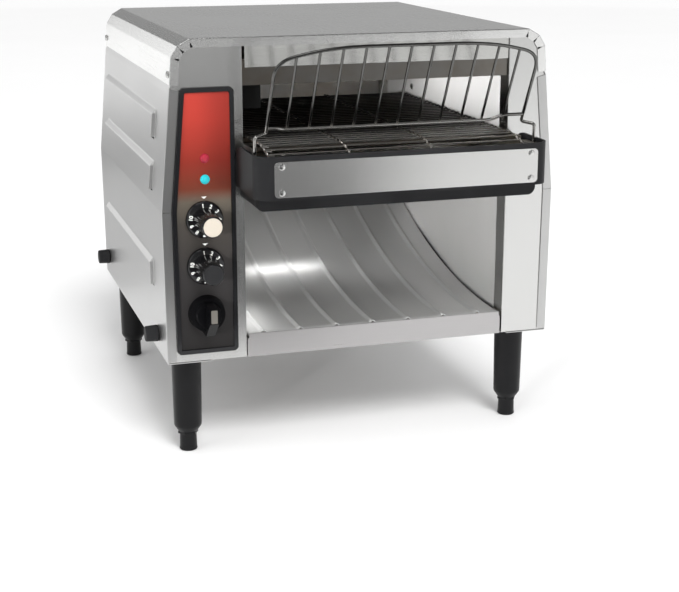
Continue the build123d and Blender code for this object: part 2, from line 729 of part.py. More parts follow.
def crumb_tray():
    """Pull-out tray under the slide; its front lip closes the gap below the slide's edge."""
    x0 = LEFT + 2.6
    x1 = RIGHT - 4.0
    z0 = BASE_TOP + FIT
    y1 = FRONT + TRAY_LENGTH
    tray = block(x0, x1, FRONT, y1, z0, z0 + TRAY_WALL)
    tray -= block(x0 + SHEET, x1 - SHEET, FRONT + SHEET, y1 - SHEET, z0 + SHEET, z0 + 2 * TRAY_WALL)
    lip = block(LEFT + 0.8, RIGHT - 2.2, FRONT, PANEL_FRONT, BASE_Z, slide_height(FRONT) + SEAT * 2)
    for x0, x1 in ((LEFT, LEFT + 2.4), (RIGHT - 3.4, RIGHT)):
        lip -= block(x0, x1, FRONT - 1, FRONT + 3, slide_height(FRONT) - 4.5, SLIDE_Z + 5)
    return tray + lip


# ---- Belt and its drive -----------------------------------------------------------------------------
def idler_centre():
    """(y, z) of the front idler, tangent to the belt's sloping nose."""
    a = radians(NOSE_SLOPE)
    run = (IDLER_Y - NOSE_Y + IDLER_R * sin(a)) / cos(a)
    return FRONT - IDLER_Y, BELT_Z - run * sin(a) - IDLER_R * cos(a)


IDLER = idler_centre()


def belt_track():
    """Belt's closed path as pieces: lines ("line", start, end) and arcs ("arc", centre, radius, from, to).

    Angles are measured from straight up towards -Y, so a turn runs from its tangent point on top,
    round the front, to its tangent point below; the rear turn goes on from there back to the top.
    """
    slope = radians(NOSE_SLOPE)
    dy = DRIVE[0] - IDLER[0]
    dz = DRIVE[1] - IDLER[1]
    low = pi - atan2(dz, dy) - asin((IDLER_R - DRIVE_R) / hypot(dy, dz))
    nose = (FRONT - NOSE_Y, BELT_Z)

    def at(centre, radius, angle):
        return centre[0] - radius * sin(angle), centre[1] + radius * cos(angle)

    front_top = at(IDLER, IDLER_R, slope)
    front_low = at(IDLER, IDLER_R, low)
    rear_low = at(DRIVE, DRIVE_R, low)
    return [
        ("line", (DRIVE[0], BELT_Z), nose),
        ("line", nose, front_top),
        ("arc", IDLER, IDLER_R, slope, low),
        ("line", front_low, rear_low),
        ("arc", DRIVE, DRIVE_R, low, 2 * pi),
    ]


def piece_length(piece):
    """Length of one piece of the track."""
    if piece[0] == "line":
        return hypot(piece[2][0] - piece[1][0], piece[2][1] - piece[1][1])
    return piece[2] * (piece[4] - piece[3])


TRACK = belt_track()
LENGTHS = [piece_length(piece) for piece in TRACK]
STRANDS = round(sum(LENGTHS) / BELT_PITCH)
STEP = sum(LENGTHS) / STRANDS


def track_point(distance):
    """(y, z) on the belt's centre line and the index of its piece, at a distance along the track."""
    distance = distance % sum(LENGTHS)
    for index, (piece, length) in enumerate(zip(TRACK, LENGTHS)):
        if distance <= length:
            break
        distance -= length
    if piece[0] == "line":
        share = distance / length
        y = piece[1][0] + (piece[2][0] - piece[1][0]) * share
        z = piece[1][1] + (piece[2][1] - piece[1][1]) * share
        return y, z, index
    angle = piece[3] + distance / piece[2]
    return piece[1][0] - piece[2] * sin(angle), piece[1][1] + piece[2] * cos(angle), index


def joint_places():
    """X of the belt's joints, where each strand hooks over the next: both edges and two between."""
    inset = 3 * BELT_WIRE
    inner = [MOUTH_CENTRE + share * BELT_WIDTH for share in JOINT_SHARES]
    return [BELT_LEFT + inset] + inner + [BELT_RIGHT - inset]


def strand(reach):
    """One belt strand lying along X at the origin, with hooks reaching back to the next strand."""
    w = BELT_WIRE
    outline = [(BELT_LEFT, -w / 2), (BELT_RIGHT, -w / 2), (BELT_RIGHT, w / 2)]
    for x in joint_places()[::-1]:
        outline += [(x + w / 2, w / 2), (x + w / 2, reach), (x - w / 2, reach), (x - w / 2, w / 2)]
    outline.append((BELT_LEFT, w / 2))
    face = make_face(Polyline(*[(x, y, -w / 2) for x, y in outline], close=True))
    return extrude(face, amount=w, dir=(0, 0, 1))


def belt_sections():
    """The belt's strands, grouped by the piece of the track they lie on."""
    sections = {"upper": [], "front": [], "lower": [], "rear": []}
    names = ["upper", "upper", "front", "lower", "rear"]
    for k in range(STRANDS):
        y, z, index = track_point(STEP * (k + 0.5))
        back_y, back_z, _ = track_point(STEP * (k - 0.5))
        tilt = degrees(atan2(back_z - z, back_y - y))
        reach = hypot(back_z - z, back_y - y) - BELT_WIRE * 0.75
        sections[names[index]].append(Pos(0, y, z) * Rot(tilt, 0, 0) * strand(reach))
    return {name: group(parts) for name, parts in sections.items()}


def belt_rail(x0, x1, outward):
    """Side rail of the belt: upright plate with a rounded front, an outward lip and bearing holes."""
    low = DRIVE[1] - DRIVE_R - 1.0
    rear = DRIVE[0] + DRIVE_R + 3.0
    step = FRONT - NOSE_Y
    y, z = IDLER
    plate = block(x0, x1, step, rear, low, BELT_TOP_Z - 3.0)
    plate += block(x0, x1, y, step + 1, low, SOCKET_Z)
    plate += rod_x(x0, x1, y, z, RAIL_NOSE_R) & block(x0, x1, y - RAIL_NOSE_R, y + 1, low, SOCKET_Z)
    edge = x0 if outward < 0 else x1
    far = edge + outward * RAIL_LIP
    near = RACK_FOOT_Y - RAIL_LIP / 2 - 2.0
    plate += block(min(edge, far), max(edge, far), near, step, SOCKET_Z - SHEET, SOCKET_Z)
    for y, z in (DRIVE, IDLER):
        plate -= rod_x(x0 - 1, x1 + 1, y, z, SHAFT_R + BUSH_WALL + SEAT)
    for y, z in LOWER_BANK:
        plate -= rod_x(x0 - 1, x1 + 1, y, z, ELEMENT_R + 1.0)
    socket = edge + outward * RAIL_LIP / 2
    return plate - rod_z(socket, RACK_FOOT_Y, SOCKET_Z - 9, SOCKET_Z + 1, SOCKET_R + SEAT)


RAIL_NOSE_R = 15.5
RAIL_LIP = 5.9
SOCKET_Z = BELT_TOP_Z - 7.0
SOCKET_R = 2.3
SOCKET_DEPTH = 3.4
RACK_FOOT_Y = FRONT - 56.0
RACK_FEET = (RAIL_LEFT - RAIL_LIP / 2, RAIL_RIGHT + RAIL_LIP / 2)


def rack_sockets():
    """Small cups in the rails' lips that hold the rack's feet."""
    cups = []
    for x in RACK_FEET:
        cup = rod_z(x, RACK_FOOT_Y, SOCKET_Z - SOCKET_DEPTH, SOCKET_Z, SOCKET_R)
        cup += rod_z(x, RACK_FOOT_Y, SOCKET_Z, SOCKET_Z + 1, SOCKET_R + 0.4)
        cup -= rod_z(x, RACK_FOOT_Y, SOCKET_Z - SOCKET_DEPTH + 0.8, SOCKET_Z + 2, RACK_WIRE / 2 + SEAT)
        cups.append(cup)
    return group(cups)


def drive_shaft():
    """Steel drive shaft from the right bearing to the chain sprocket."""
    return rod_x(SHAFT_LEFT, WALL_RIGHT + SHEET + 4, DRIVE[0], DRIVE[1], SHAFT_R)


def sprocket_places():
    """X of the drive sprockets and of the idler rollers, evenly spread about the mouth's centre."""
    middle = (SPROCKETS - 1) / 2
    return [MOUTH_CENTRE + SPROCKET_SHARE * BELT_WIDTH * (k - middle) for k in range(SPROCKETS)]


def toothed_disc(teeth, root, tip, width):
    """Sprocket blank along X at the origin: trapezoid teeth between root and tip radii."""
    points = []
    for k in range(teeth):
        for share, r in ((0.0, tip), (0.22, tip), (0.36, root), (0.86, root)):
            a = 2 * pi * (k + share - 0.11) / teeth
            points.append((r * sin(a), r * cos(a)))
    return slab_x(points, -width / 2, width / 2)


def drive_sprockets():
    """Toothed wheels on the drive shaft; their teeth stand in the belt's windows."""
    tip = DRIVE_R - BELT_WIRE / 2 - FIT
    wheels = []
    for x in sprocket_places():
        wheel = toothed_disc(DRIVE_TEETH, tip - 4.5, tip, 4.0) + rod_x(-7, 7, 0, 0, SHAFT_R + 4)
        wheel -= rod_x(-9, 9, 0, 0, SHAFT_R)
        wheels.append(Pos(x, DRIVE[0], DRIVE[1]) * wheel)
    return group(wheels)


def front_idler():
    """Idler shaft at the belt's front turn with its rollers."""
    r = IDLER_R - BELT_WIRE / 2 - FIT
    parts = [rod_x(RAIL_LEFT - 3, RAIL_RIGHT + 3, IDLER[0], IDLER[1], SHAFT_R)]
    for x in sprocket_places():
        roller = rod_x(x - ROLLER_WIDTH / 2, x + ROLLER_WIDTH / 2, IDLER[0], IDLER[1], r)
        parts.append(roller - rod_x(x - 20, x + 20, IDLER[0], IDLER[1], SHAFT_R))
    return group(parts)


def shaft_bearings():
    """Flanged bronze bushes of both shafts, in the rails and the oven walls."""
    bushes = []
    seats = ((DRIVE, WALL_LEFT - SHEET, WALL_RIGHT + SHEET), (IDLER, RAIL_LEFT, RAIL_RIGHT))
    reach = RAIL_SHEET + 1
    for (y, z), left, right in seats:
        for outer, inner, way in ((left, RAIL_LEFT + reach, -1), (right, RAIL_RIGHT - reach, 1)):
            bush = rod_x(inner, outer, y, z, SHAFT_R + BUSH_WALL)
            bush += rod_x(outer, outer + way * 1.5, y, z, SHAFT_R + BUSH_WALL + 1.5)
            bushes.append(bush - rod_x(inner - 20, inner + 20, y, z, SHAFT_R + SEAT))
    return group(bushes)


def chain_radius(teeth):
    """Pitch radius of a chain sprocket."""
    return CHAIN_PITCH / (2 * sin(pi / teeth))


MOTOR = (FRONT + MOTOR_Y, MOTOR_Z)


def chain_sprocket():
    """Larger chain wheel, keyed to the drive shaft."""
    r = chain_radius(SHAFT_TEETH) - 2.0
    wheel = toothed_disc(SHAFT_TEETH, r - 2.0, r, CHAIN_WIDTH - 0.8) + rod_x(-2, 6, 0, 0, SHAFT_R + 4)
    return Pos(CHAIN_X, DRIVE[0], DRIVE[1]) * (wheel - rod_x(-9, 9, 0, 0, SHAFT_R))


def motor_sprocket():
    """Small chain wheel on the gearmotor's shaft."""
    r = chain_radius(MOTOR_TEETH) - 2.0
    wheel = toothed_disc(MOTOR_TEETH, r - 2.0, r, CHAIN_WIDTH - 0.8)
    return Pos(CHAIN_X, MOTOR[0], MOTOR[1]) * (wheel - rod_x(-9, 9, 0, 0, MOTOR_SHAFT_R))


def motor_shaft():
    """Output shaft of the gearmotor."""
    return rod_x(CHAIN_X - 14, CHAIN_X + 3, MOTOR[0], MOTOR[1], MOTOR_SHAFT_R)


def chain_band(grow):
    """Outline of the chain round both sprockets, grown outwards from its pitch line."""
    r1 = chain_radius(SHAFT_TEETH) + grow
    r2 = chain_radius(MOTOR_TEETH) + grow
    dy = MOTOR[0] - DRIVE[0]
    dz = MOTOR[1] - DRIVE[1]
    length = hypot(dy, dz)
    lean = atan2(dz, dy)
    open_angle = asin((r1 - r2) / length)
    bars = rod_x(-CHAIN_WIDTH / 2, CHAIN_WIDTH / 2, DRIVE[0], DRIVE[1], r1)
    bars += rod_x(-CHAIN_WIDTH / 2, CHAIN_WIDTH / 2, MOTOR[0], MOTOR[1], r2)
    corners = []
    for centre, r in ((DRIVE, r1), (MOTOR, r2)):
        for side in (1, -1):
            a = lean + side * (pi / 2 - open_angle)
            corners.append((centre[0] + r * cos(a), centre[1] + r * sin(a)))
    bars += slab_x([corners[0], corners[1], corners[3], corners[2]], -CHAIN_WIDTH / 2, CHAIN_WIDTH / 2)
    return bars


def drive_chain():
    """Roller chain as one closed band round both sprockets."""
    return Pos(CHAIN_X, 0, 0) * (chain_band(2.4) - chain_band(-1.7))


def motor_bracket():
    """Plate with two feet that holds the gearmotor off the left oven wall."""
    x1 = WALL_LEFT - SHEET
    x0 = CHAIN_X - 8.0
    y, z = MOTOR
    plate = block(x0, x0 + 2, y - 34, y + 34, z - 40, z + 26)
    for edge in (y - 34, y + 32):
        plate += block(x0, x1, edge, edge + 2, z - 40, z + 26)
    return plate - rod_x(x0 - 1, x0 + 3, y, z, MOTOR_SHAFT_R + 4)


def gearmotor():
    """Gearbox and motor can behind the bracket, with the boss that carries the output shaft."""
    x1 = CHAIN_X - 8.0
    x0 = x1 - 24.0
    y, z = MOTOR
    body = block(x0, x1, y - 30, y + 30, z - 36, z + 18)
    body += rod_x(x1 - 1, x1 + 2, y, z, MOTOR_SHAFT_R + 3.9)
    body += rod_x(x0 - 20, x0 + 1, y, z - 10, 22)
    return body - rod_x(x1 - 7, x1 + 3, y, z, MOTOR_SHAFT_R + SEAT)


def fan_frame():
    """Square axial fan frame behind the rear grille, with three spokes to its hub."""
    y1 = REAR - 2 * SHEET - SEAT
    y0 = y1 - FAN_DEPTH
    half = FAN_SIZE / 2
    frame = block(FAN_X - half, FAN_X + half, y0, y1, FAN_Z - half, FAN_Z + half)
    frame -= rod_y(FAN_X, y0 - 1, y1 + 1, FAN_Z, half - 2.5)
    hub = rod_y(FAN_X, y0, y0 + 2.5, FAN_Z, 10)
    spokes = block(FAN_X - half + 1, FAN_X + half - 1, y0, y0 + 2.5, FAN_Z - 1.5, FAN_Z + 1.5)
    spokes += block(FAN_X - 1.5, FAN_X + 1.5, y0, y0 + 2.5, FAN_Z - half + 1, FAN_Z + half - 1)
    return frame + hub + spokes - rod_y(FAN_X, y0 - 1, y0 + 4, FAN_Z, 1.5 + SEAT)


def fan_rotor():
    """Fan hub with five raked blades, on a pin in the frame's hub."""
    y1 = REAR - 2 * SHEET - SEAT
    y0 = y1 - FAN_DEPTH
    rotor = rod_y(FAN_X, y0 + 3.5, y1 - 2.5, FAN_Z, 11)
    rotor += rod_y(FAN_X, y0 + 0.5, y0 + 5, FAN_Z, 1.5)
    for k in range(5):
        blade = Pos(18, 0, 0) * Rot(35, 0, 0) * Box(16, 1.4, 13)
        rotor += Pos(FAN_X, (y0 + 3.5 + y1 - 2.5) / 2, FAN_Z) * Rot(0, 72 * k, 0) * blade
    return rotor


# ---- Loading bumper and rack ------------------------------------------------------------------------
BUMPER_LEFT = MOUTH_CENTRE - BUMPER_WIDTH / 2
BUMPER_RIGHT = MOUTH_CENTRE + BUMPER_WIDTH / 2
BUMPER_FRONT = FRONT - BUMPER_REACH
PLATE = 0.8


def front_bumper():
    """U-shaped loading bumper: rounded front corners, flanks rounded down to the columns, floor ledge."""
    y0 = BUMPER_FRONT + PLATE
    y1 = PANEL_FRONT - SEAT
    shape = block(BUMPER_LEFT, BUMPER_RIGHT, y0, y1, BUMPER_BOTTOM_Z, BUMPER_TOP_Z)
    shape = fillet(shape.edges().filter_by(Axis.Z).group_by(Axis.Y)[0], BUMPER_CORNER)
    hollow = block(
        BUMPER_LEFT + BUMPER_WALL, BUMPER_RIGHT - BUMPER_WALL,
        y0 + BUMPER_WALL, y1 + 9, BUMPER_BOTTOM_Z - 9, BUMPER_TOP_Z + 9,
    )
    hollow = fillet(hollow.edges().filter_by(Axis.Z).group_by(Axis.Y)[0], BUMPER_CORNER - BUMPER_WALL)
    ledge = block(
        BUMPER_LEFT, BUMPER_RIGHT, y0, FRONT - PAN_REACH + 2.0,
        BUMPER_BOTTOM_Z, BUMPER_BOTTOM_Z + BUMPER_WALL,
    )
    body = shape - hollow + (shape & ledge)
    r = FLANK_ROUND
    corner = block(BUMPER_LEFT - 1, BUMPER_RIGHT + 1, y1 - r, y1 + 1, BUMPER_TOP_Z - r, BUMPER_TOP_Z + 1)
    body -= corner - rod_x(BUMPER_LEFT - 2, BUMPER_RIGHT + 2, y1 - r, BUMPER_TOP_Z - r, r)
    for x, z in rivet_places():
        body -= rod_y(x, BUMPER_FRONT - 1, BUMPER_FRONT + 9, z, RIVET_R + SEAT)
    return body


def bumper_pan():
    """Black pan under the belt's front end, set back from the bumper's face."""
    x0 = BUMPER_LEFT + 5.0
    x1 = BUMPER_RIGHT - 4.5
    y0 = FRONT - PAN_REACH
    y1 = PANEL_FRONT - SEAT
    top = BUMPER_BOTTOM_Z - SEAT
    shape = block(x0, x1, y0, y1, PAN_Z, top)
    shape = fillet(shape.edges().filter_by(Axis.Y).group_by(Axis.Z)[0], PAN_ROUND)
    hollow = block(x0 + SHEET, x1 - SHEET, y0 + SHEET, y1 + 5, PAN_Z + SHEET, top + 5)
    hollow = fillet(hollow.edges().filter_by(Axis.Y).group_by(Axis.Z)[0], PAN_ROUND - SHEET)
    rim = block(x0, x1, y0 - 6.0, y0 + SHEET, top - SHEET, top)
    return shape - hollow + rim


FLANK_ROUND = 25.0
PAN_ROUND = 8.0
RIVET_R = 2.0
RIVET_INSET = 7.0


def rivet_places():
    """(x, z) of the plate's four rivets."""
    dx = PLATE_WIDTH / 2 - RIVET_INSET
    dz = PLATE_HEIGHT / 2 - RIVET_INSET + 2.5
    x = MOUTH_CENTRE + 1.6
    return [(x + a * dx, PLATE_Z + b * dz) for a in (-1, 1) for b in (-1, 1)]


def bumper_plate():
    """Bare stainless plate on the bumper's face, with rounded corners."""
    x = MOUTH_CENTRE + 1.6
    w = PLATE_WIDTH / 2
    h = PLATE_HEIGHT / 2
    plate = block(x - w, x + w, BUMPER_FRONT, BUMPER_FRONT + PLATE, PLATE_Z - h, PLATE_Z + h)
    plate = fillet(plate.edges().filter_by(Axis.Y), 4.0)
    for a, b in rivet_places():
        plate -= rod_y(a, BUMPER_FRONT - 1, BUMPER_FRONT + 2, b, RIVET_R + SEAT)
    return plate


def rack_y(z):
    """Y of the rack's plane at height z: it leans forward."""
    return FRONT - RACK_LOW_Y - RACK_LEAN * (z - RACK_LOW_Z)


RACK_SHOULDER_Z = RACK_TOP_Z - 11.9
RACK_FALL = 52.0
RACK_BEND = 20.0
RACK_KNEE = 4.0


def crown_z(x):
    """Height of the rack's crown wire at x: flat in the middle, falling to the shoulders."""
    out = abs(x - RACK_CENTRE) - (RACK_HALF - RACK_FALL)
    return RACK_TOP_Z - max(out, 0) * (RACK_TOP_Z - RACK_SHOULDER_Z) / RACK_FALL


def bar(a, b, r):
    """Round wire between two points."""
    way = Vector(*b) - Vector(*a)
    plane = Plane(origin=a, z_dir=way.normalized())
    return extrude(plane * Circle(r), amount=way.length)


def bent_wire(points, radii, r):
    """Round wire through points, with a bend of the given radius at each corner."""
    path = FilletPolyline(*points, radius=radii)
    return sweep(Plane(origin=path @ 0, z_dir=path % 0) * Circle(r), path=path)


def loading_rack():
    """Leaning wire rack: one bent frame wire with feet in the rails' sockets, base wire and slats."""
    r = RACK_WIRE / 2
    x0 = RACK_CENTRE - RACK_HALF
    x1 = RACK_CENTRE + RACK_HALF
    knee = RACK_LOW_Z - 5.0
    low = RACK_LOW_Z - 3.0
    top = RACK_TOP_Z
    side = [(0, RACK_FOOT_Y, SOCKET_Z - SOCKET_DEPTH + 1.1), (0, RACK_FOOT_Y, knee)]
    left = [(RACK_FEET[0], y, z) for _, y, z in side]
    left += [(x0, rack_y(low), low), (x0, rack_y(RACK_SHOULDER_Z), RACK_SHOULDER_Z)]
    left += [(x0 + RACK_FALL, rack_y(top), top)]
    right = [(x1 - RACK_FALL, rack_y(top), top), (x1, rack_y(RACK_SHOULDER_Z), RACK_SHOULDER_Z)]
    right += [(x1, rack_y(low), low)]
    right += [(RACK_FEET[1], y, z) for _, y, z in side[::-1]]
    bends = [RACK_KNEE, RACK_KNEE, RACK_BEND, 6 * RACK_BEND]
    rack = [bent_wire(left + right, bends + bends[::-1], r)]
    base_y = rack_y(RACK_LOW_Z)
    rack.append(bar((x0, base_y, RACK_LOW_Z), (x1, base_y, RACK_LOW_Z), r))
    for k in range(SLATS):
        x = MOUTH_CENTRE + (k - (SLATS - 1) / 2) * SLAT_PITCH
        z = crown_z(x)
        rack.append(bar((x, base_y, RACK_LOW_Z), (x, rack_y(z), z), SLAT_WIRE / 2))
    return union(rack)


# ---- Control column ---------------------------------------------------------------------------------
BEZEL_BACK = PANEL_FRONT
BEZEL_FRONT = PANEL_FRONT - BEZEL_DEPTH
OVERLAY_FRONT = BEZEL_FRONT + 1.4


def bezel_outline(inset):
    """Outline of the control bezel, following the housing's flare, moved inwards by the inset."""
    margin = FLANGE + BEZEL_GAP
    left = [(-half_width(z) + margin, z) for z in (BEZEL_TOP_Z, KINK_Z, BEZEL_BOTTOM_Z)]
    ring = left + [(BEZEL_RIGHT, BEZEL_BOTTOM_Z), (BEZEL_RIGHT, BEZEL_TOP_Z)]
    return offset_ring(ring, inset)


def cut_corners(part, reach):
    """Chamfered outline corners of a bezel part, along Y."""
    edges = part.edges().filter_by(Axis.Y)
    low = edges.group_by(Axis.Z)[0]
    high = edges.group_by(Axis.Z)[-1]
    return chamfer(ShapeList(list(low) + list(high)), reach)


def control_bezel():
    """Black frame and back plate of the controls, with holes for bushings and lamps."""
    body = cut_corners(slab_y(bezel_outline(0), BEZEL_FRONT, BEZEL_BACK), 3.0)
    body -= slab_y(bezel_outline(BEZEL_BORDER), BEZEL_FRONT - 1, OVERLAY_FRONT + OVERLAY)
    return body - control_holes()


def control_holes():
    """Cutters for the three bushings and the two lamps."""
    y0 = BEZEL_FRONT - 2
    y1 = BEZEL_BACK + 2
    cuts = [rod_y(KNOB_X, y0, y1, z, BUSHING_R + SEAT) for z in (SPEED_Z, POWER_Z, FUNCTION_Z)]
    cuts += [rod_y(LAMP_X, y0, y1, z, LAMP_R + SEAT) for z in (RED_LAMP_Z, BLUE_LAMP_Z)]
    return union(cuts)


def control_overlay():
    """Thin printed sheet inside the bezel."""
    sheet = slab_y(bezel_outline(BEZEL_BORDER + SEAT), OVERLAY_FRONT, OVERLAY_FRONT + OVERLAY)
    return sheet - control_holes()


def lamp_lens(z):
    """Domed lens of an indicator lamp with its body behind the column."""
    lens = rod_y(LAMP_X, OVERLAY_FRONT - 0.6, PANEL_BACK + 10, z, LAMP_R)
    dome = cone_y(LAMP_X, OVERLAY_FRONT - 0.6, OVERLAY_FRONT - 2.0, z, LAMP_R, LAMP_R * 0.6)
    return lens + dome + rod_y(LAMP_X, PANEL_BACK, PANEL_BACK + 4, z, LAMP_R + 2.5)


KNOB_BACK = OVERLAY_FRONT - FIT
SKIRT_FRONT = KNOB_BACK - SKIRT_DEPTH
GRIP_FRONT = SKIRT_FRONT - GRIP_DEPTH + 2.0
CAP = 1.2


def stem(z):
    """Round control stem from behind the column into the knob."""
    return rod_y(KNOB_X, SKIRT_FRONT - 8, PANEL_BACK + 12, z, STEM_R)


def dial_knob(z):
    """Skirted knob: flared skirt, waisted grip with flutes and a recess for the face cap."""
    skirt = cone_y(KNOB_X, KNOB_BACK, SKIRT_FRONT, z, SKIRT_R, SKIRT_R - 1.6)
    hub = cone_y(KNOB_X, SKIRT_FRONT, SKIRT_FRONT - 6, z, GRIP_R + 2.4, GRIP_R + 0.6)
    grip = cone_y(KNOB_X, SKIRT_FRONT - 5.5, GRIP_FRONT, z, GRIP_R + 0.6, GRIP_R - 0.8)
    knob = skirt + hub + grip
    for k in range(12):
        a = 2 * pi * k / 12
        r = GRIP_R + 1.0
        knob -= rod_y(KNOB_X + r * cos(a), GRIP_FRONT + 2.5, SKIRT_FRONT - 7, z + r * sin(a), 0.9)
    knob -= rod_y(KNOB_X, GRIP_FRONT - 1, GRIP_FRONT + CAP, z, GRIP_R - 1.6)
    return knob - rod_y(KNOB_X, SKIRT_FRONT - 8, KNOB_BACK + 1, z, STEM_R)


def knob_cap(z):
    """Round cap pressed into the grip's face."""
    return rod_y(KNOB_X, GRIP_FRONT - 0.3, GRIP_FRONT + CAP, z, GRIP_R - 1.6)


def function_knob():
    """Bar knob: round stepped base with a tall bar handle whose face slopes down to its nose."""
    z = FUNCTION_Z
    base = cone_y(KNOB_X, KNOB_BACK, KNOB_BACK - 9, z, SKIRT_R, SKIRT_R - 1.5)
    base += cone_y(KNOB_X, KNOB_BACK - 9, KNOB_BACK - 14, z, SKIRT_R - 4.5, SKIRT_R - 6.5)
    front = KNOB_BACK - GRIP_DEPTH
    profile = [
        (KNOB_BACK - 1, z + 14.0), (front, z + 13.0), (front, z - 2.0),
        (KNOB_BACK - 16, z - SKIRT_R - 1.0), (KNOB_BACK - 1, z - SKIRT_R - 1.0),
    ]
    handle = slab_x(profile, KNOB_X - 4.4, KNOB_X + 4.4)
    return base + handle - rod_y(KNOB_X, KNOB_BACK - 12, KNOB_BACK + 1, z, STEM_R)


def control_body(z, half, depth):
    """Potentiometer or switch behind the column, with its threaded bushing through the panel."""
    y0 = PANEL_BACK
    body = block(KNOB_X - half, KNOB_X + half, y0, y0 + depth, z - half, z + half)
    body += rod_y(KNOB_X, OVERLAY_FRONT + 0.2, y0 + 1, z, BUSHING_R)
    return body - rod_y(KNOB_X, OVERLAY_FRONT - 2, y0 + 13, z, STEM_R + SEAT)


# ---- Legs, feet, spacers and screws -----------------------------------------------------------------
LEG_NAMES = ["front_left", "front_right", "rear_left", "rear_right"]


def leg(x, y):
    """Tapered leg with a chamfered end, a blind socket for the foot and a stud through the base."""
    body = cone_z(x, y, LEG_SHOULDER_Z, BASE_Z - SHEET, LEG_FOOT_R, LEG_TOP_R)
    body += cone_z(x, y, LEG_END_Z, LEG_SHOULDER_Z, FOOT_R + 0.9, LEG_FOOT_R)
    body += rod_z(x, y, BASE_Z - SHEET, BASE_TOP + 9, STUD_R)
    return body - rod_z(x, y, LEG_END_Z - 1, LEG_END_Z + 32, STUD_R + SEAT)


def foot(x, y):
    """Adjustable foot: hexagon collar, round barrel with a wider sole, and a threaded stud above."""
    top = LEG_END_Z - FIT
    collar = extrude(Plane.XY.offset(top - 2.4) * Pos(x, y) * RegularPolygon(FOOT_R + 1.7, 6), amount=2.4)
    barrel = cone_z(x, y, 4.0, top - 2.0, FOOT_R, FOOT_R - 0.3)
    sole = cone_z(x, y, 0.0, 1.2, FOOT_R - 1.0, FOOT_R + 0.4) + cone_z(x, y, 1.2, 4.0, FOOT_R + 0.4, FOOT_R)
    return collar + barrel + sole + rod_z(x, y, top - 1, top + 30, STUD_R)


def side_spacers():
    """Rubber wall spacers, two on each side panel, each with a plug through the sheet."""
    spacers = []
    for side in (-1, 1):
        for y, z in SPACER_PLACES:
            x = side * (half_width(z) + 0.1)
            out = x + side * SPACER_REACH
            pad = Rot(0, side * 90, 0) * Cone(SPACER_R, SPACER_R - 0.7, SPACER_REACH)
            pad = Pos((x + out) / 2, FRONT + y, z) * pad
            spacers.append(pad + rod_x(x, x - side * 5, FRONT + y, z, PLUG_R))
    return group(spacers)


def screws_and_rivets():
    """Cover screws, the oven wall screw, the bumper rivets and the nuts of the leg studs."""
    parts = []
    for x, y, z in cover_screw_places():
        out = 1 if x > 0 else -1
        seat = x + out * 0.25
        head = rod_x(seat, seat + out * 1.8, y, z, SCREW_HEAD_R)
        parts.append(head + rod_x(x - out * SCREW_LENGTH, seat, y, z, SCREW_R))
    head = rod_x(WALL_RIGHT - 1.6, WALL_RIGHT, SCREW_Y, SCREW_Z, SCREW_HEAD_R)
    parts.append(head + rod_x(WALL_RIGHT, WALL_RIGHT + SCREW_LENGTH, SCREW_Y, SCREW_Z, SCREW_R))
    for x, z in rivet_places():
        rivet = rod_y(x, BUMPER_FRONT, BUMPER_FRONT + PLATE + BUMPER_WALL, z, RIVET_R)
        parts.append(rivet + cone_y(x, BUMPER_FRONT, BUMPER_FRONT - 1.0, z, RIVET_R + 1.2, RIVET_R))
    for x, y in LEG_PLACES:
        nut = extrude(Plane.XY.offset(BASE_TOP) * Pos(x, y) * RegularPolygon(7.5, 6), amount=6.0)
        parts.append(nut - rod_z(x, y, BASE_Z, BASE_TOP + 20, STUD_R))
    return group(parts)


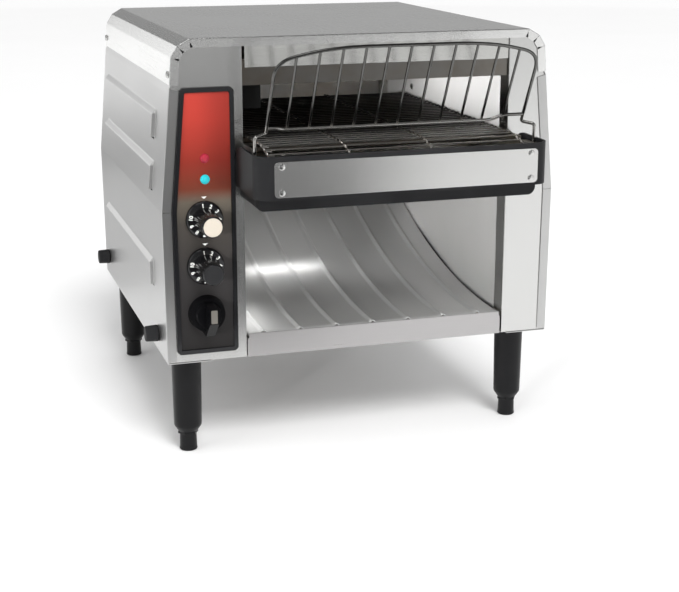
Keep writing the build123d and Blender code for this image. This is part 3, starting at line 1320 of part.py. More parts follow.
# ---- Assembly ---------------------------------------------------------------------------------------
def build():
    """All nodes by name."""
    left_column, right_column = front_columns()
    panel = left_side_panel()
    belt = belt_sections()
    speed = control_body(SPEED_Z, 12, 14)
    power = control_body(POWER_Z, 12, 14)
    function = control_body(FUNCTION_Z, 15, 24)
    parts = {
        "base_pan": base_pan(),
        "top_cover": top_cover(),
        "left_side_panel": panel,
        "right_side_panel": mirrored(panel),
        "left_front_column": left_column,
        "right_front_column": right_column,
        "header_panel": header_panel(),
        "header_baffle": header_baffle(),
        "rear_panel": rear_panel(),
        "cord_gland": cord_gland(),
        "left_oven_wall": left_oven_wall(),
        "right_oven_wall": right_oven_wall(),
        "rear_guide": rear_guide(),
        "sensor_shield": sensor_shield(),
        "upper_reflector": upper_reflector(),
        "lower_reflector": lower_reflector(),
        "heating_elements": heating_elements(UPPER_BANK + LOWER_BANK),
        "element_bushes": element_bushes(),
        "slide_bracket": slide_bracket(),
        "toast_slide": toast_slide(),
        "crumb_tray": crumb_tray(),
        "belt_upper_run": belt["upper"],
        "belt_front_turn": belt["front"],
        "belt_lower_run": belt["lower"],
        "belt_rear_turn": belt["rear"],
        "left_belt_rail": belt_rail(RAIL_LEFT, RAIL_LEFT + RAIL_SHEET, -1),
        "right_belt_rail": belt_rail(RAIL_RIGHT - RAIL_SHEET, RAIL_RIGHT, 1),
        "rack_sockets": rack_sockets(),
        "drive_shaft": drive_shaft(),
        "drive_sprockets": drive_sprockets(),
        "front_idler": front_idler(),
        "shaft_bearings": shaft_bearings(),
        "chain_sprocket": chain_sprocket(),
        "motor_sprocket": motor_sprocket() + motor_shaft(),
        "drive_chain": drive_chain(),
        "motor_bracket": motor_bracket(),
        "gearmotor": gearmotor(),
        "fan_frame": fan_frame(),
        "fan_rotor": fan_rotor(),
        "front_bumper": front_bumper(),
        "bumper_pan": bumper_pan(),
        "bumper_plate": bumper_plate(),
        "loading_rack": loading_rack(),
        "control_bezel": control_bezel(),
        "control_overlay": control_overlay(),
        "power_lamp": lamp_lens(RED_LAMP_Z),
        "ready_lamp": lamp_lens(BLUE_LAMP_Z),
        "control_bodies": group([speed, power, function]),
        "speed_knob": group([dial_knob(SPEED_Z), stem(SPEED_Z)]),
        "speed_knob_cap": knob_cap(SPEED_Z),
        "power_knob": group([dial_knob(POWER_Z), stem(POWER_Z)]),
        "power_knob_cap": knob_cap(POWER_Z),
        "function_knob": group([function_knob(), stem(FUNCTION_Z)]),
        "legs": group([leg(x, y) for x, y in LEG_PLACES]),
        "side_spacers": side_spacers(),
        "screws_and_rivets": screws_and_rivets(),
    }
    for name, (x, y) in zip(LEG_NAMES, LEG_PLACES):
        parts[name + "_foot"] = foot(x, y)
    return parts


os.makedirs("parts", exist_ok=True)
for name, shape in build().items():
    export_step(shape, f"parts/{name}.step")
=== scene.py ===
"""Conveyor toaster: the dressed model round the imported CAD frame. Metres, +Z up, -Y to the user."""

from math import asin, atan2, cos, hypot, pi, radians, sin

import bmesh
import bpy
import numpy as np
from mathutils import Matrix, Vector


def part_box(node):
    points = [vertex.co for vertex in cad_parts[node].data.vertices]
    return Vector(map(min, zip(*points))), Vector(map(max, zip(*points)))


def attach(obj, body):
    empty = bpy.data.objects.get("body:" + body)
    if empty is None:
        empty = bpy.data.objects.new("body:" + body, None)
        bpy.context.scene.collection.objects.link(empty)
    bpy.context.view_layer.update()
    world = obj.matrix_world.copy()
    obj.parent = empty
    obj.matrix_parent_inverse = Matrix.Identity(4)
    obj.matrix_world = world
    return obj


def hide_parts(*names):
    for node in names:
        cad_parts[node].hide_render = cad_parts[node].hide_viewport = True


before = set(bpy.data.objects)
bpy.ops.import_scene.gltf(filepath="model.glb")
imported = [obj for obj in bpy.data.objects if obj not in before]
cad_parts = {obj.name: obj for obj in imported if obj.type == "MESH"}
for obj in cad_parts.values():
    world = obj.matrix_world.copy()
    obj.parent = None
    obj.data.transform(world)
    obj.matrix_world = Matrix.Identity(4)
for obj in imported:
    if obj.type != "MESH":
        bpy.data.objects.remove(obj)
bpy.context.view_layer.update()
scene = bpy.context.scene

# ---- Camera ----
# A long lens a little left of the middle, looking slightly down at the housing's upper half.
CAMERA_PLACE = (-0.4446, -1.4833, 0.5480)
CAMERA_TURN = 0.304
CAMERA_DIP = 0.271
CAMERA_LENS = 76.71


def placed(name, data):
    """New object of the scene with this data."""
    thing = bpy.data.objects.new(name, data)
    scene.collection.objects.link(thing)
    return thing


camera = placed("camera", bpy.data.cameras.new("camera"))
camera.data.lens = CAMERA_LENS
camera.data.sensor_width = 36.0
camera.data.clip_end = 60.0
camera.location = CAMERA_PLACE
camera.rotation_euler = (pi / 2 - CAMERA_DIP, 0.0, -CAMERA_TURN)
scene.camera = camera

# ---- Floor and light ----
# A pale matt floor that runs out of sight in a pale room. Large soft lights stand round it and small
# ones close to the toaster; the shell and the cards are seen only in the metal's reflections.
FLOOR_REACH = 9.0
FLOOR_TONE = (0.90, 0.90, 0.90)


class Field:
    """A socket of a material's node tree. Arithmetic on it adds Math nodes, node() adds any other."""

    def __init__(self, socket):
        self.socket = socket
        self.tree = socket.id_data

    def node(self, kind, settings, values, output=0):
        """New node of this kind: its settings first, then the values or links of its sockets."""
        new = self.tree.nodes.new(kind)
        for name, setting in settings.items():
            setattr(new, name, setting)
        for name, value in values.items():
            feed(new.inputs[name], value)
        return Field(new.outputs[output])

    def maths(self, operation, *values):
        """Result of a Math node on these values."""
        return self.node("ShaderNodeMath", {"operation": operation}, dict(enumerate(values)))

    def __add__(self, other):
        return self.maths("ADD", self, other)

    def __sub__(self, other):
        return self.maths("SUBTRACT", self, other)

    def __mul__(self, other):
        return self.maths("MULTIPLY", self, other)

    def __truediv__(self, other):
        return self.maths("DIVIDE", self, other)

    def ease(self, low, high):
        """0 below low, 1 above high and a smooth step between them."""
        limits = {"Value": self, "From Min": low, "From Max": high}
        return self.node("ShaderNodeMapRange", {"interpolation_type": "SMOOTHSTEP"}, limits)

    def blend(self, low, high):
        """Colour that goes from low to high as this field goes from 0 to 1."""
        return self.node("ShaderNodeMix", {"data_type": "RGBA"}, {0: self, 6: low, 7: high}, 2)

    def ramp(self, *stops):
        """Colour ramp over this field; each stop is (place, colour)."""
        colours = self.node("ShaderNodeValToRGB", {}, {"Fac": self})
        elements = colours.socket.node.color_ramp.elements
        while len(elements) < len(stops):
            elements.new(1.0)
        for element, (place, colour) in zip(elements, stops):
            element.position = place
            element.color = colour
        return colours


def feed(socket, value):
    """Links a field to a socket, or sets the socket to a plain value."""
    if isinstance(value, Field):
        value.tree.links.new(value.socket, socket)
    else:
        socket.default_value = value


def rgb(red, green, blue):
    """Colour socket value of a linear red, green and blue."""
    return (red, green, blue, 1.0)


def shade(tone, scale=1.0, plus=0.0):
    """Colour socket value of a tone, each part scaled and lifted, but not past 1."""
    return rgb(*[min(t * scale + plus, 1.0) for t in tone])


class Finish:
    """A material with one Principled shader and the piece's own coordinates as fields x, y and z."""

    def __init__(self, name, **sockets):
        self.material = bpy.data.materials.new(name)
        self.material.use_nodes = True
        self.shader = self.material.node_tree.nodes["Principled BSDF"]
        coordinates = self.material.node_tree.nodes.new("ShaderNodeTexCoord")
        self.place = Field(coordinates.outputs["Object"])
        self.set(**sockets)

    def set(self, **sockets):
        """Values or fields for the shader's sockets; an underscore stands for a space in a name."""
        for name, value in sockets.items():
            feed(self.shader.inputs[name.replace("_", " ")], value)

    def axes(self):
        """The x, y and z of the piece's own coordinates."""
        return [self.place.node("ShaderNodeSeparateXYZ", {}, {0: self.place}, k) for k in range(3)]

    def noise(self, scales, detail=2.0, roughness=0.5):
        """Cloud of values about 0.5, with this many spots to the metre, or as many along x, y and z."""
        stretch = {"operation": "MULTIPLY"}
        scales = np.broadcast_to(scales, 3).tolist()
        place = self.place.node("ShaderNodeVectorMath", stretch, {0: self.place, 1: scales})
        values = {"Vector": place, "Scale": 1.0, "Detail": detail, "Roughness": roughness}
        return self.place.node("ShaderNodeTexNoise", {}, values)

    def bump(self, height, depth, strength=1.0):
        """Bump of a height field, this many metres deep, on the shader's normal."""
        values = {"Height": height, "Distance": depth, "Strength": strength}
        self.set(Normal=self.place.node("ShaderNodeBump", {}, values))


def quads(rows, columns, wrap=False):
    """Faces between neighbours on a grid of rows by columns; wrap joins the last column to the first."""
    across = np.arange(columns if wrap else columns - 1)
    start = np.arange(rows - 1)[:, None] * columns
    a = start + across
    b = start + (across + 1) % columns
    return np.stack([a, b, b + columns, a + columns], -1).reshape(-1, 4)


def mesh_object(name, points, faces):
    """Object of a mesh from points (n, 3) and lists of faces."""
    mesh = bpy.data.meshes.new(name)
    mesh.from_pydata(np.asarray(points, float).reshape(-1, 3).tolist(), [], [list(f) for f in faces])
    mesh.update()
    return placed(name, mesh)


def floor():
    """Flat square grid at height zero, its squares growing outwards by a cube law."""
    reach = np.linspace(-1.0, 1.0, 15) ** 3 * FLOOR_REACH
    x, y = np.meshgrid(reach, reach)
    ground = mesh_object("floor", np.stack([x, y, 0.0 * x], -1), quads(15, 15))
    finish = Finish("floor_paper", Roughness=0.65, Specular_IOR_Level=0.3)
    finish.set(Base_Color=finish.noise(3.0).blend(shade(FLOOR_TONE), shade(FLOOR_TONE, 1.0, 0.02)))
    ground.data.materials.append(finish.material)


def lamp_at(name, kind, place, aim, power, glossy, **traits):
    """Lamp that faces a point; glossy says if reflections show it, traits are its other settings."""
    lamp = bpy.data.lights.new(name, kind)
    lamp.energy = power
    for trait, value in traits.items():
        setattr(lamp, trait, value)
    thing = placed(name, lamp)
    thing.location = place
    thing.rotation_euler = (Vector(aim) - Vector(place)).to_track_quat("-Z", "Y").to_euler()
    thing.visible_camera = False
    thing.visible_glossy = glossy


def soft_light(name, place, aim, size, power, glossy=True):
    """Rectangular soft light."""
    lamp_at(name, "AREA", place, aim, power, glossy, shape="RECTANGLE", size=size[0], size_y=size[1])


def beam(name, place, aim, power, spread):
    """Narrow soft-edged lamp that reflections don't show; spread is its cone in degrees."""
    traits = {"spot_size": radians(spread), "spot_blend": 0.5, "shadow_soft_size": 0.16}
    lamp_at(name, "SPOT", place, aim, power, False, **traits)


def glowing(name, spots, faces, pick):
    """Stage piece that only reflections show: black paper, glowing in the colour that pick makes."""
    thing = mesh_object(name, spots, faces)
    finish = Finish(name + "_paper", Base_Color=rgb(0.0, 0.0, 0.0), Roughness=1.0, Specular_IOR_Level=0.0)
    finish.set(Emission_Color=pick(finish), Emission_Strength=1.0)
    thing.data.materials.append(finish.material)
    thing.visible_camera = False
    thing.visible_shadow = False
    thing.visible_diffuse = False


def glow_card(name, corner, across, up, tone):
    """Plain card from a corner and two edges, with its tone."""
    u, v = np.meshgrid(np.linspace(0.0, 1.0, 5), np.linspace(0.0, 1.0, 5))
    spots = np.asarray(corner) + u[..., None] * np.asarray(across) + v[..., None] * np.asarray(up)
    ends = rgb(*[tone * 0.94] * 3), rgb(*[tone] * 3)
    glowing(name, spots, quads(5, 5), lambda finish: finish.noise(0.6).blend(*ends))


def studio_shell():
    """Dim walls and ceiling: half an ellipsoid standing on the floor."""
    lift = np.linspace(0.0, pi / 2 - 0.02, 10)[:, None]
    turn = np.linspace(0.0, 2 * pi, 33)[None, :-1]
    ring = np.cos(lift) * SHELL_REACH
    spots = [ring * np.cos(turn), ring * np.sin(turn), np.sin(lift) * SHELL_HEIGHT + 0.0 * turn]
    ends = rgb(*SHELL_LOW), rgb(*SHELL_HIGH)
    glowing("studio_shell", np.stack(spots, -1), quads(10, 32, wrap=True),
            lambda finish: finish.axes()[2].ease(0.2, 4.0).blend(*ends))


SHELL_REACH = 6.0
SHELL_HEIGHT = 4.2
SHELL_LOW = (0.30, 0.30, 0.30)
SHELL_HIGH = (0.14, 0.14, 0.14)
floor()
studio_shell()
glow_card("card_rear_left", (-3.2, 2.9, 0.0), (2.45, 0.7, 0.0), (0.0, 0.0, 1.72), 1.28)
glow_card("card_rear_right", (-0.1, 4.2, 0.0), (4.2, -0.6, 0.0), (0.0, 0.0, 2.0), 0.47)
glow_card("flag_front", (-0.90, -2.90, 0.004), (1.89, 0.0, 0.0), (-0.93, 2.37, 0.0), 0.08)
glow_card("card_floor_left", (-1.9, 0.50, 0.004), (1.75, 0.0, 0.0), (0.0, 0.95, 0.0), 0.74)
glow_card("card_floor_far", (-1.9, 1.45, 0.004), (1.75, 0.0, 0.0), (0.0, 1.30, 0.0), 0.42)
lamp_at("sky_soft", "SUN", (0.0, 0.0, 1.0), (-0.0524, 0.9670, 0.0), 2.3, False, angle=radians(24.0))
soft_light("light_above", (-0.5, -1.0, 2.6), (0.0, 0.0, 0.3), (1.4, 0.9), 14.0)
soft_light("light_left", (-2.3, -0.7, 1.3), (0.0, 0.0, 0.3), (1.8, 1.9), 10.5)
soft_light("light_right", (1.9, -2.0, 1.1), (0.0, 0.0, 0.3), (1.7, 1.8), 8.5)
soft_light("light_slide", (-0.02, 0.025, 0.258), (-0.05, 0.11, 0.18), (0.14, 0.08), 0.17, False)
soft_light("light_band", (-0.040, 0.024, 0.160), (-0.040, 0.020, 0.0), (0.085, 0.006), 0.046, False)
soft_light("light_corner", (-0.110, -0.105, 0.150), (-0.110, -0.105, 0.0), (0.016, 0.08), 0.046, False)
soft_light("light_wall", (0.095, -0.02, 0.366), (0.30, -0.02, 0.366), (0.26, 0.03), 0.27, False)
glow_card("card_bumper", (-0.176, -0.158, 0.275), (0.040, 0.0, 0.0), (0.0, 0.0, 0.090), 0.55)
beam("light_mouth", (-1.25, -2.1, 0.58), (0.17, -0.05, 0.352), 800.0, 7.2)
beam("light_beads", (-0.90, -1.10, 0.33), (0.09, -0.04, 0.125), 340.0, 6.2)
room = bpy.data.worlds.new("room")
room.use_nodes = True
backdrop = room.node_tree.nodes["Background"].inputs
backdrop["Color"].default_value = rgb(1.0, 1.0, 1.0)
backdrop["Strength"].default_value = 0.60
scene.world = room
scene.view_settings.view_transform = "Standard"

# ---- Sheet-metal housing ----
# Panels of brushed stainless sheet, 1.2 mm thick, folded and screwed together. The grain runs along
# the length of each panel, and the folds are rounded over the bender's edge.
MM = 0.001
SHEET = 1.2 * MM
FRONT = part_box("top_cover")[0].y
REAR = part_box("top_cover")[1].y


def brushed(name, tone, roughness, grain, streak=0.03, metal=1.0):
    """Brushed stainless: long fine scratches along one axis, and faint wide clouds of dulling."""
    finish = Finish(name, Metallic=metal)
    scales = [1500.0] * 3
    scales["xyz".index(grain)] = 18.0
    lines = finish.noise(scales, 3.0, 0.6)
    clouds = finish.noise(9.0, 3.0, 0.55)
    dark, light = shade(tone, 0.98 - streak), shade(tone, 1.02 + streak)
    finish.set(Base_Color=(lines * 0.7 + clouds * 0.3).blend(dark, light))
    finish.set(Roughness=lines * 0.10 + clouds * 0.08 + (roughness - 0.09))
    finish.bump(lines, 0.00001, 0.15)
    return finish.material


# Painted light: one brushed sheet in four tones, the cover copy painted lightest as lit, the side copy
# darkest as shaded, the front and rear copies between.
STAINLESS = brushed("stainless_side", (0.55, 0.55, 0.545), 0.32, "y")
STAINLESS_COVER = brushed("stainless_cover", (0.84, 0.84, 0.83), 0.26, "y")
STAINLESS_FRONT = brushed("stainless_front", (0.66, 0.66, 0.65), 0.24, "z")
STAINLESS_REAR = brushed("stainless_rear", (0.60, 0.60, 0.59), 0.34, "x")


def dress(finish, *nodes):
    """Gives CAD nodes this material in every slot."""
    for node in nodes:
        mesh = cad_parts[node].data
        for k in range(len(mesh.materials)):
            mesh.materials[k] = finish


def finish_piece(piece, finish, body, nodes, sharp=32.0):
    """Shades a new piece, gives it its material, and lets it stand for CAD nodes on a body."""
    mesh = piece.data
    mesh.materials.clear()
    mesh.materials.append(finish)
    mesh.polygons.foreach_set("use_smooth", np.ones(len(mesh.polygons), bool))
    mesh.set_sharp_from_angle(angle=radians(sharp))
    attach(piece, body)
    if nodes:
        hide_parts(*nodes)
    return piece


def solid(name, points, faces):
    """Closed object: its doubles merged and every face turned outwards."""
    piece = mesh_object(name, points, faces)
    work = bmesh.new()
    work.from_mesh(piece.data)
    bmesh.ops.remove_doubles(work, verts=work.verts, dist=1e-6)
    bmesh.ops.recalc_face_normals(work, faces=work.faces)
    work.to_mesh(piece.data)
    work.free()
    return piece


def softened(node, name, finish, body, slot, width, segments=2):
    """Copy of a CAD node, its flat faces joined and its edges rounded to this width in millimetres."""
    piece = placed(name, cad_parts[node].data.copy())
    work = bmesh.new()
    work.from_mesh(piece.data)
    bmesh.ops.remove_doubles(work, verts=work.verts, dist=2e-6)
    bmesh.ops.dissolve_limit(work, angle_limit=radians(1.0), verts=work.verts, edges=work.edges)
    work.to_mesh(piece.data)
    work.free()
    edge = piece.modifiers.new("edge", "BEVEL")
    edge.width = width * MM
    edge.segments = segments
    edge.limit_method = "ANGLE"
    edge.angle_limit = radians(28.0)
    return finish_piece(piece, finish, body, [node])


def rounded(points, radius, steps=4):
    """Polyline with each inner corner replaced by a curve that starts and ends radius away from it.

    The curve at a corner is the quadratic one through (1 - t)^2 start + 2 t (1 - t) corner + t^2 end.
    """
    points = np.asarray(points, float)
    corner = points[1:-1]
    back = points[:-2] - corner
    ahead = points[2:] - corner
    reach_back = np.linalg.norm(back, axis=1, keepdims=True)
    reach_ahead = np.linalg.norm(ahead, axis=1, keepdims=True)
    radius = np.broadcast_to(np.asarray(radius, float).reshape(-1, 1), reach_back.shape)
    start = corner + back / reach_back * np.minimum(radius, reach_back * 0.49)
    end = corner + ahead / reach_ahead * np.minimum(radius, reach_ahead * 0.49)
    t = np.linspace(0.0, 1.0, steps + 1)[None, :, None]
    curve = (1 - t) ** 2 * start[:, None] + 2 * t * (1 - t) * corner[:, None] + t ** 2 * end[:, None]
    inner = curve.reshape(-1, points.shape[1])
    return np.concatenate([points[:1], inner, points[-1:]])


def outline_normals(path):
    """Unit normals on the left of an open polyline in the plane, mitred at its points."""
    way = np.diff(path, axis=0)
    way /= np.linalg.norm(way, axis=1, keepdims=True)
    side = np.stack([-way[:, 1], way[:, 0]], 1)
    first = np.concatenate([side[:1], side])
    last = np.concatenate([side, side[-1:]])
    middle = first + last
    return middle / (1 + np.sum(first * last, axis=1, keepdims=True))


def flat_faced(piece):
    """Lets the large faces keep their own normals, so that only the rounded edges turn the light."""
    even = piece.modifiers.new("even", "WEIGHTED_NORMAL")
    even.keep_sharp = True
    even.weight = 80
    return piece


def meshed(thing):
    """Mesh of an object as its modifiers or its curve make it."""
    bpy.context.view_layer.update()
    return bpy.data.meshes.new_from_object(thing.evaluated_get(bpy.context.evaluated_depsgraph_get()))


def folded_sheet(name, path, section, lift, keep):
    """Sheet whose section is carried along an outline of (x, z) points, in millimetres.

    section rows are (y, inset); a point is outline + normal (inset - lift), and the sheet thickens
    inwards. Only the faces in keep are made.
    """
    away = section[None, :, 1:] - lift[..., None]
    flat = path[:, None] + outline_normals(path)[:, None] * away
    points = np.insert(flat, 1, section[:, 0], axis=-1)
    used, faces = np.unique(quads(len(path), len(section))[keep.reshape(-1)], return_inverse=True)
    piece = mesh_object(name, points.reshape(-1, 3)[used] * MM, faces.reshape(-1, 4))
    thick = piece.modifiers.new("sheet", "SOLIDIFY")
    thick.thickness = SHEET
    thick.offset = 1.0
    mesh = meshed(piece)
    piece.modifiers.clear()
    piece.data = mesh
    return flat_faced(piece)


def end_flanges(y0, y1, width, bend, between):
    """Section of a sheet from one return flange to the other, (y, inset), with rounded corners."""
    turn = np.linspace(0.0, pi / 2, 5)
    front = np.stack([y0 + bend - bend * np.sin(turn), bend - bend * np.cos(turn)], 1)
    rear = np.stack([y1 - bend + bend * np.sin(turn), bend - bend * np.cos(turn)], 1)[::-1]
    middle = np.stack([between, 0.0 * between], 1)[::-1]
    return np.concatenate([[[y1, width]], rear, middle, front, [[y0, width]]])


COVER_FOLDS = [(192.1, 376.4), (190.3, 402.0), (183.7, 412.4), (172.1, 419.1)]
COVER_BEND = 0.7
COVER_FLANGE = 8.6
FLANGE = 9.5
EDGE_BEND = 1.1
FRONT_MM, REAR_MM = FRONT / MM, REAR / MM


def top_cover():
    """Cover: its outline from one side's edge over the top to the other, the flanges slit at bends."""
    right = np.array(COVER_FOLDS)
    path = rounded(np.concatenate([right, right[::-1] * (-1, 1)]), COVER_BEND, 4)
    between = np.array([FRONT_MM + 40, REAR_MM - 40])
    section = end_flanges(FRONT_MM, REAR_MM, COVER_FLANGE, EDGE_BEND, between)
    in_bend = np.arange(len(path) - 1) % 5 != 0
    keep = np.ones((len(path) - 1, len(section) - 1), bool)
    keep[in_bend, 0] = keep[in_bend, -1] = False
    return folded_sheet("top_cover_sheet", path, section, np.zeros((1, 1)), keep)


finish_piece(top_cover(), STAINLESS_COVER, "chassis", ["top_cover"], 40.0)

BASE_Z = 103.4
KINK_Z = 255.6
LIP_Z = 373.0
FOOT_HALF, HALF, LIP_HALF = 202.0, 203.2, 192.41
FOOT_BEND, FOOT_FLANGE, LIP_STEP = 2.0, 44.0, 1.25
LOUVRES = ((333.0, 57.0, 360.0), (283.0, 52.0, 346.0), (185.0, 57.0, 346.0))
LOUVRE_HALF = 13.75
LOUVRE_LIFT = 3.6
LOUVRE_SLOPE = 5.0
LOUVRE_END = 1.5
LOUVRE_SLOT = 2.0


def soft_ramp(t, width=0.18):
    """0 below 0 and 1 above 1, straight between, its two corners rounded over this width."""
    start = np.maximum(width - np.abs(t), 0.0) ** 2 / (4 * width)
    end = np.maximum(width - np.abs(t - 1), 0.0) ** 2 / (4 * width)
    return np.clip(t, 0.0, 1.0) + start - end


def side_sheet(side):
    """Side panel: bottom flange, kinked wall with three pressed louvres, and a lip set back one sheet.

    A louvre stands out by its lift times a soft ramp down from its hinge times a soft ramp in from
    each end; under its lower edge the sheet is open.
    """
    turn = np.linspace(0.0, pi / 2, 5)[:, None]
    bend = (FOOT_HALF, BASE_Z) + FOOT_BEND * np.concatenate([np.sin(turn) - 1, 1 - np.cos(turn)], 1)
    foot = np.concatenate([[[FOOT_HALF - FOOT_FLANGE, BASE_Z]], bend])
    heights = [BASE_Z + 6, KINK_Z - 0.45, KINK_Z + 0.45, LIP_Z - 6, LIP_Z]
    steps = np.concatenate([np.linspace(-0.9, 1.0, 9), [4.0, 5.0], np.linspace(5.5, 6.5, 5)])
    for middle, _, _ in LOUVRES:
        top, edge = middle + LOUVRE_HALF, middle - LOUVRE_HALF
        heights += list(top - steps) + [middle, edge, edge - 0.02, edge - LOUVRE_SLOT]
    heights = np.array(sorted(heights))
    wall_x = np.interp(heights, [BASE_Z, KINK_Z, LIP_Z], [FOOT_HALF, HALF, LIP_HALF])
    slope = (LIP_HALF - HALF) / (LIP_Z - KINK_Z)
    lip = [(LIP_HALF + slope * z - LIP_STEP, LIP_Z + z) for z in (3.0, 23.0)]
    path = np.concatenate([foot, np.stack([wall_x, heights], 1), lip])
    local = np.array([-1.0, -0.5, 0.0, 0.5, 1.0]) * 0.27
    ends = [e for _, y0, y1 in LOUVRES for e in (y0, y0 + LOUVRE_END, y1, y1 - LOUVRE_END)]
    across = np.unique(np.round(np.add.outer(ends, FRONT_MM + local), 3))
    section = end_flanges(FRONT_MM, REAR_MM, FLANGE, EDGE_BEND, across)
    z, y = path[:, 1:2], section[None, :, 0]
    lift = np.zeros((len(path), len(section)))
    keep = np.ones((len(path) - 1, len(section) - 1), bool)
    for middle, y0, y1 in LOUVRES:
        down = soft_ramp((middle + LOUVRE_HALF - z) / LOUVRE_SLOPE)
        inward = soft_ramp((y - FRONT_MM - y0) / LOUVRE_END) * soft_ramp((FRONT_MM + y1 - y) / LOUVRE_END)
        below = z >= middle - LOUVRE_HALF - 0.01
        lift += LOUVRE_LIFT * down * inward * below
        row = (z[:-1, 0] + z[1:, 0]) / 2 - (middle - LOUVRE_HALF)
        step = (row < 0.0) & (row > -LOUVRE_SLOT)
        keep &= ~(step[:, None] & (y[:, 1:] < FRONT_MM + y1) & (y[:, :-1] > FRONT_MM + y0))
    no_flange = np.ones(len(path) - 1, bool)
    no_flange[5:-2] = False
    no_flange |= (path[:-1, 1] > KINK_Z - 0.5) & (path[1:, 1] < KINK_Z + 0.5)
    keep[no_flange, 0] = keep[no_flange, -1] = False
    piece = folded_sheet(side + "_side_sheet", path, section, lift, keep)
    if side == "left":
        piece.data.transform(Matrix.Diagonal((-1.0, 1.0, 1.0, 1.0)))
        piece.data.flip_normals()
    finish_piece(piece, STAINLESS, "chassis", [side + "_side_panel"], 50.0)


for side in ("left", "right"):
    side_sheet(side)
    column = (side + "_front_column", side + "_column_sheet")
    flat_faced(softened(*column, STAINLESS_FRONT, "chassis", "stainless_front", 0.45))
dress(STAINLESS_REAR, "rear_panel")

# ---- Mouth, oven walls and inner sheets ----
# Bright rolled sheet lines the mouth; the sheets further in are dulled and browned by the heat, and the
# baffle under the header is darkened further as painted shade.


def grained(name, low, high, wide, fine, roughness, bump, spread=None, **sockets):
    """Material whose colour goes from low to high with wide clouds, bumped by fine grains.

    wide and fine are a noise's spots, detail, roughness and share in the material's roughness; bump is
    depth and strength; spread is the range of the clouds that turns the colour.
    """
    finish = Finish(name, **sockets)
    clouds = finish.noise(*wide[:3])
    grains = finish.noise(*fine[:3])
    share = clouds.ease(*spread) if spread else clouds
    finish.set(Base_Color=share.blend(low, high))
    finish.set(Roughness=clouds * wide[3] + grains * fine[3] + roughness)
    finish.bump(grains, *bump)
    return finish.material


def rolled(name, tone, roughness, metal, wave):
    """Bright rolled sheet: no grain to speak of, its reflections bent by long waves this deep."""
    film, waves = (30.0, 3.0, 0.6, 0.08), ((9.0, 16.0, 5.0), 1.0, 0.4, 0.0)
    pale = shade(tone)
    return grained(name, shade(tone, 0.96), pale, film, waves, roughness - 0.04, (wave,), Metallic=metal)


POLISHED = rolled("stainless_polished", (0.72, 0.71, 0.70), 0.24, 0.6, 1.6 * MM)
HEADER = brushed("stainless_header", (0.62, 0.62, 0.60), 0.17, "x", 0.03)


def heat_dulled(name, tone, roughness):
    """Oven sheet: dull grey steel with brown heat clouds and fine specks of crumb."""
    brown = rgb(tone[0] * 0.86, tone[1] * 0.78, tone[2] * 0.68)
    clouds, specks = (14.0, 4.0, 0.6, 0.18), (420.0, 2.0, 0.5, 0.06)
    spread, bump = (0.35, 0.75), (0.00003, 0.4)
    return grained(name, shade(tone), brown, clouds, specks, roughness - 0.12, bump, spread, Metallic=1.0)


OVEN_STEEL = heat_dulled("oven_steel", (0.60, 0.59, 0.57), 0.42)
DARK_STEEL = heat_dulled("mill_steel", (0.40, 0.40, 0.40), 0.45)
softened("header_panel", "header_sheet", HEADER, "chassis", "stainless_polished", 0.3)
dress(POLISHED, "left_oven_wall", "right_oven_wall")
# Painted shade: the header baffle is oven sheet in a much darker copy, for the recess under the header.
BAFFLE_SHADE_STEEL = heat_dulled("baffle_painted_shade", (0.20, 0.195, 0.185), 0.30)
dress(BAFFLE_SHADE_STEEL, "header_baffle")
dress(OVEN_STEEL, "rear_guide", "upper_reflector", "lower_reflector")
dress(OVEN_STEEL, "left_belt_rail", "right_belt_rail", "rack_sockets", "slide_bracket")
dress(DARK_STEEL, "base_pan", "motor_bracket")

# ---- Heating rods ----
# Sheathed rods above and below the belt, oxidised dark, carried in ceramic bushes.
SHEATH = heat_dulled("rod_sheath", (0.22, 0.20, 0.18), 0.5)


def fired(name, tone):
    """Fired ceramic: off-white, a little mottled, faintly glazed."""
    mottle, grain = (260.0, 3.0, 0.5, 0.2), (260.0, 3.0, 0.5, 0.0)
    glaze = {"Coat_Weight": 0.15, "Coat_Roughness": 0.3}
    return grained(name, shade(tone, 0.86), shade(tone), mottle, grain, 0.4, (0.00004, 0.4), **glaze)


dress(SHEATH, "heating_elements")
dress(fired("bush_ceramic", (0.82, 0.79, 0.72)), "element_bushes")

# ---- Toast slide and crumb tray ----
# One curved sheet of satin stainless with seven rounded beads pressed up along its length; toast
# slides down it to the front. The crumb tray is a shallow folded pan that pulls out under it.
SLIDE_LOW_Y = FRONT + 20.0 * MM
SLIDE_Z = 128.0 * MM
SLIDE_R = 688.0 * MM
SLIDE_SWEEP = radians(24.0)
TAIL_R = 120.0 * MM
TAIL_END = radians(80.0)
BEAD_MIDDLE = 10.0 * MM
BEAD_PITCH = 38.2 * MM
BEAD_HALF = 4.2 * MM
BEAD_HEIGHT = 2.7 * MM
BEADS = 7
SLIDE_STEEL = rolled("stainless_slide", (0.54, 0.54, 0.53), 0.30, 0.62, 0.2 * MM)


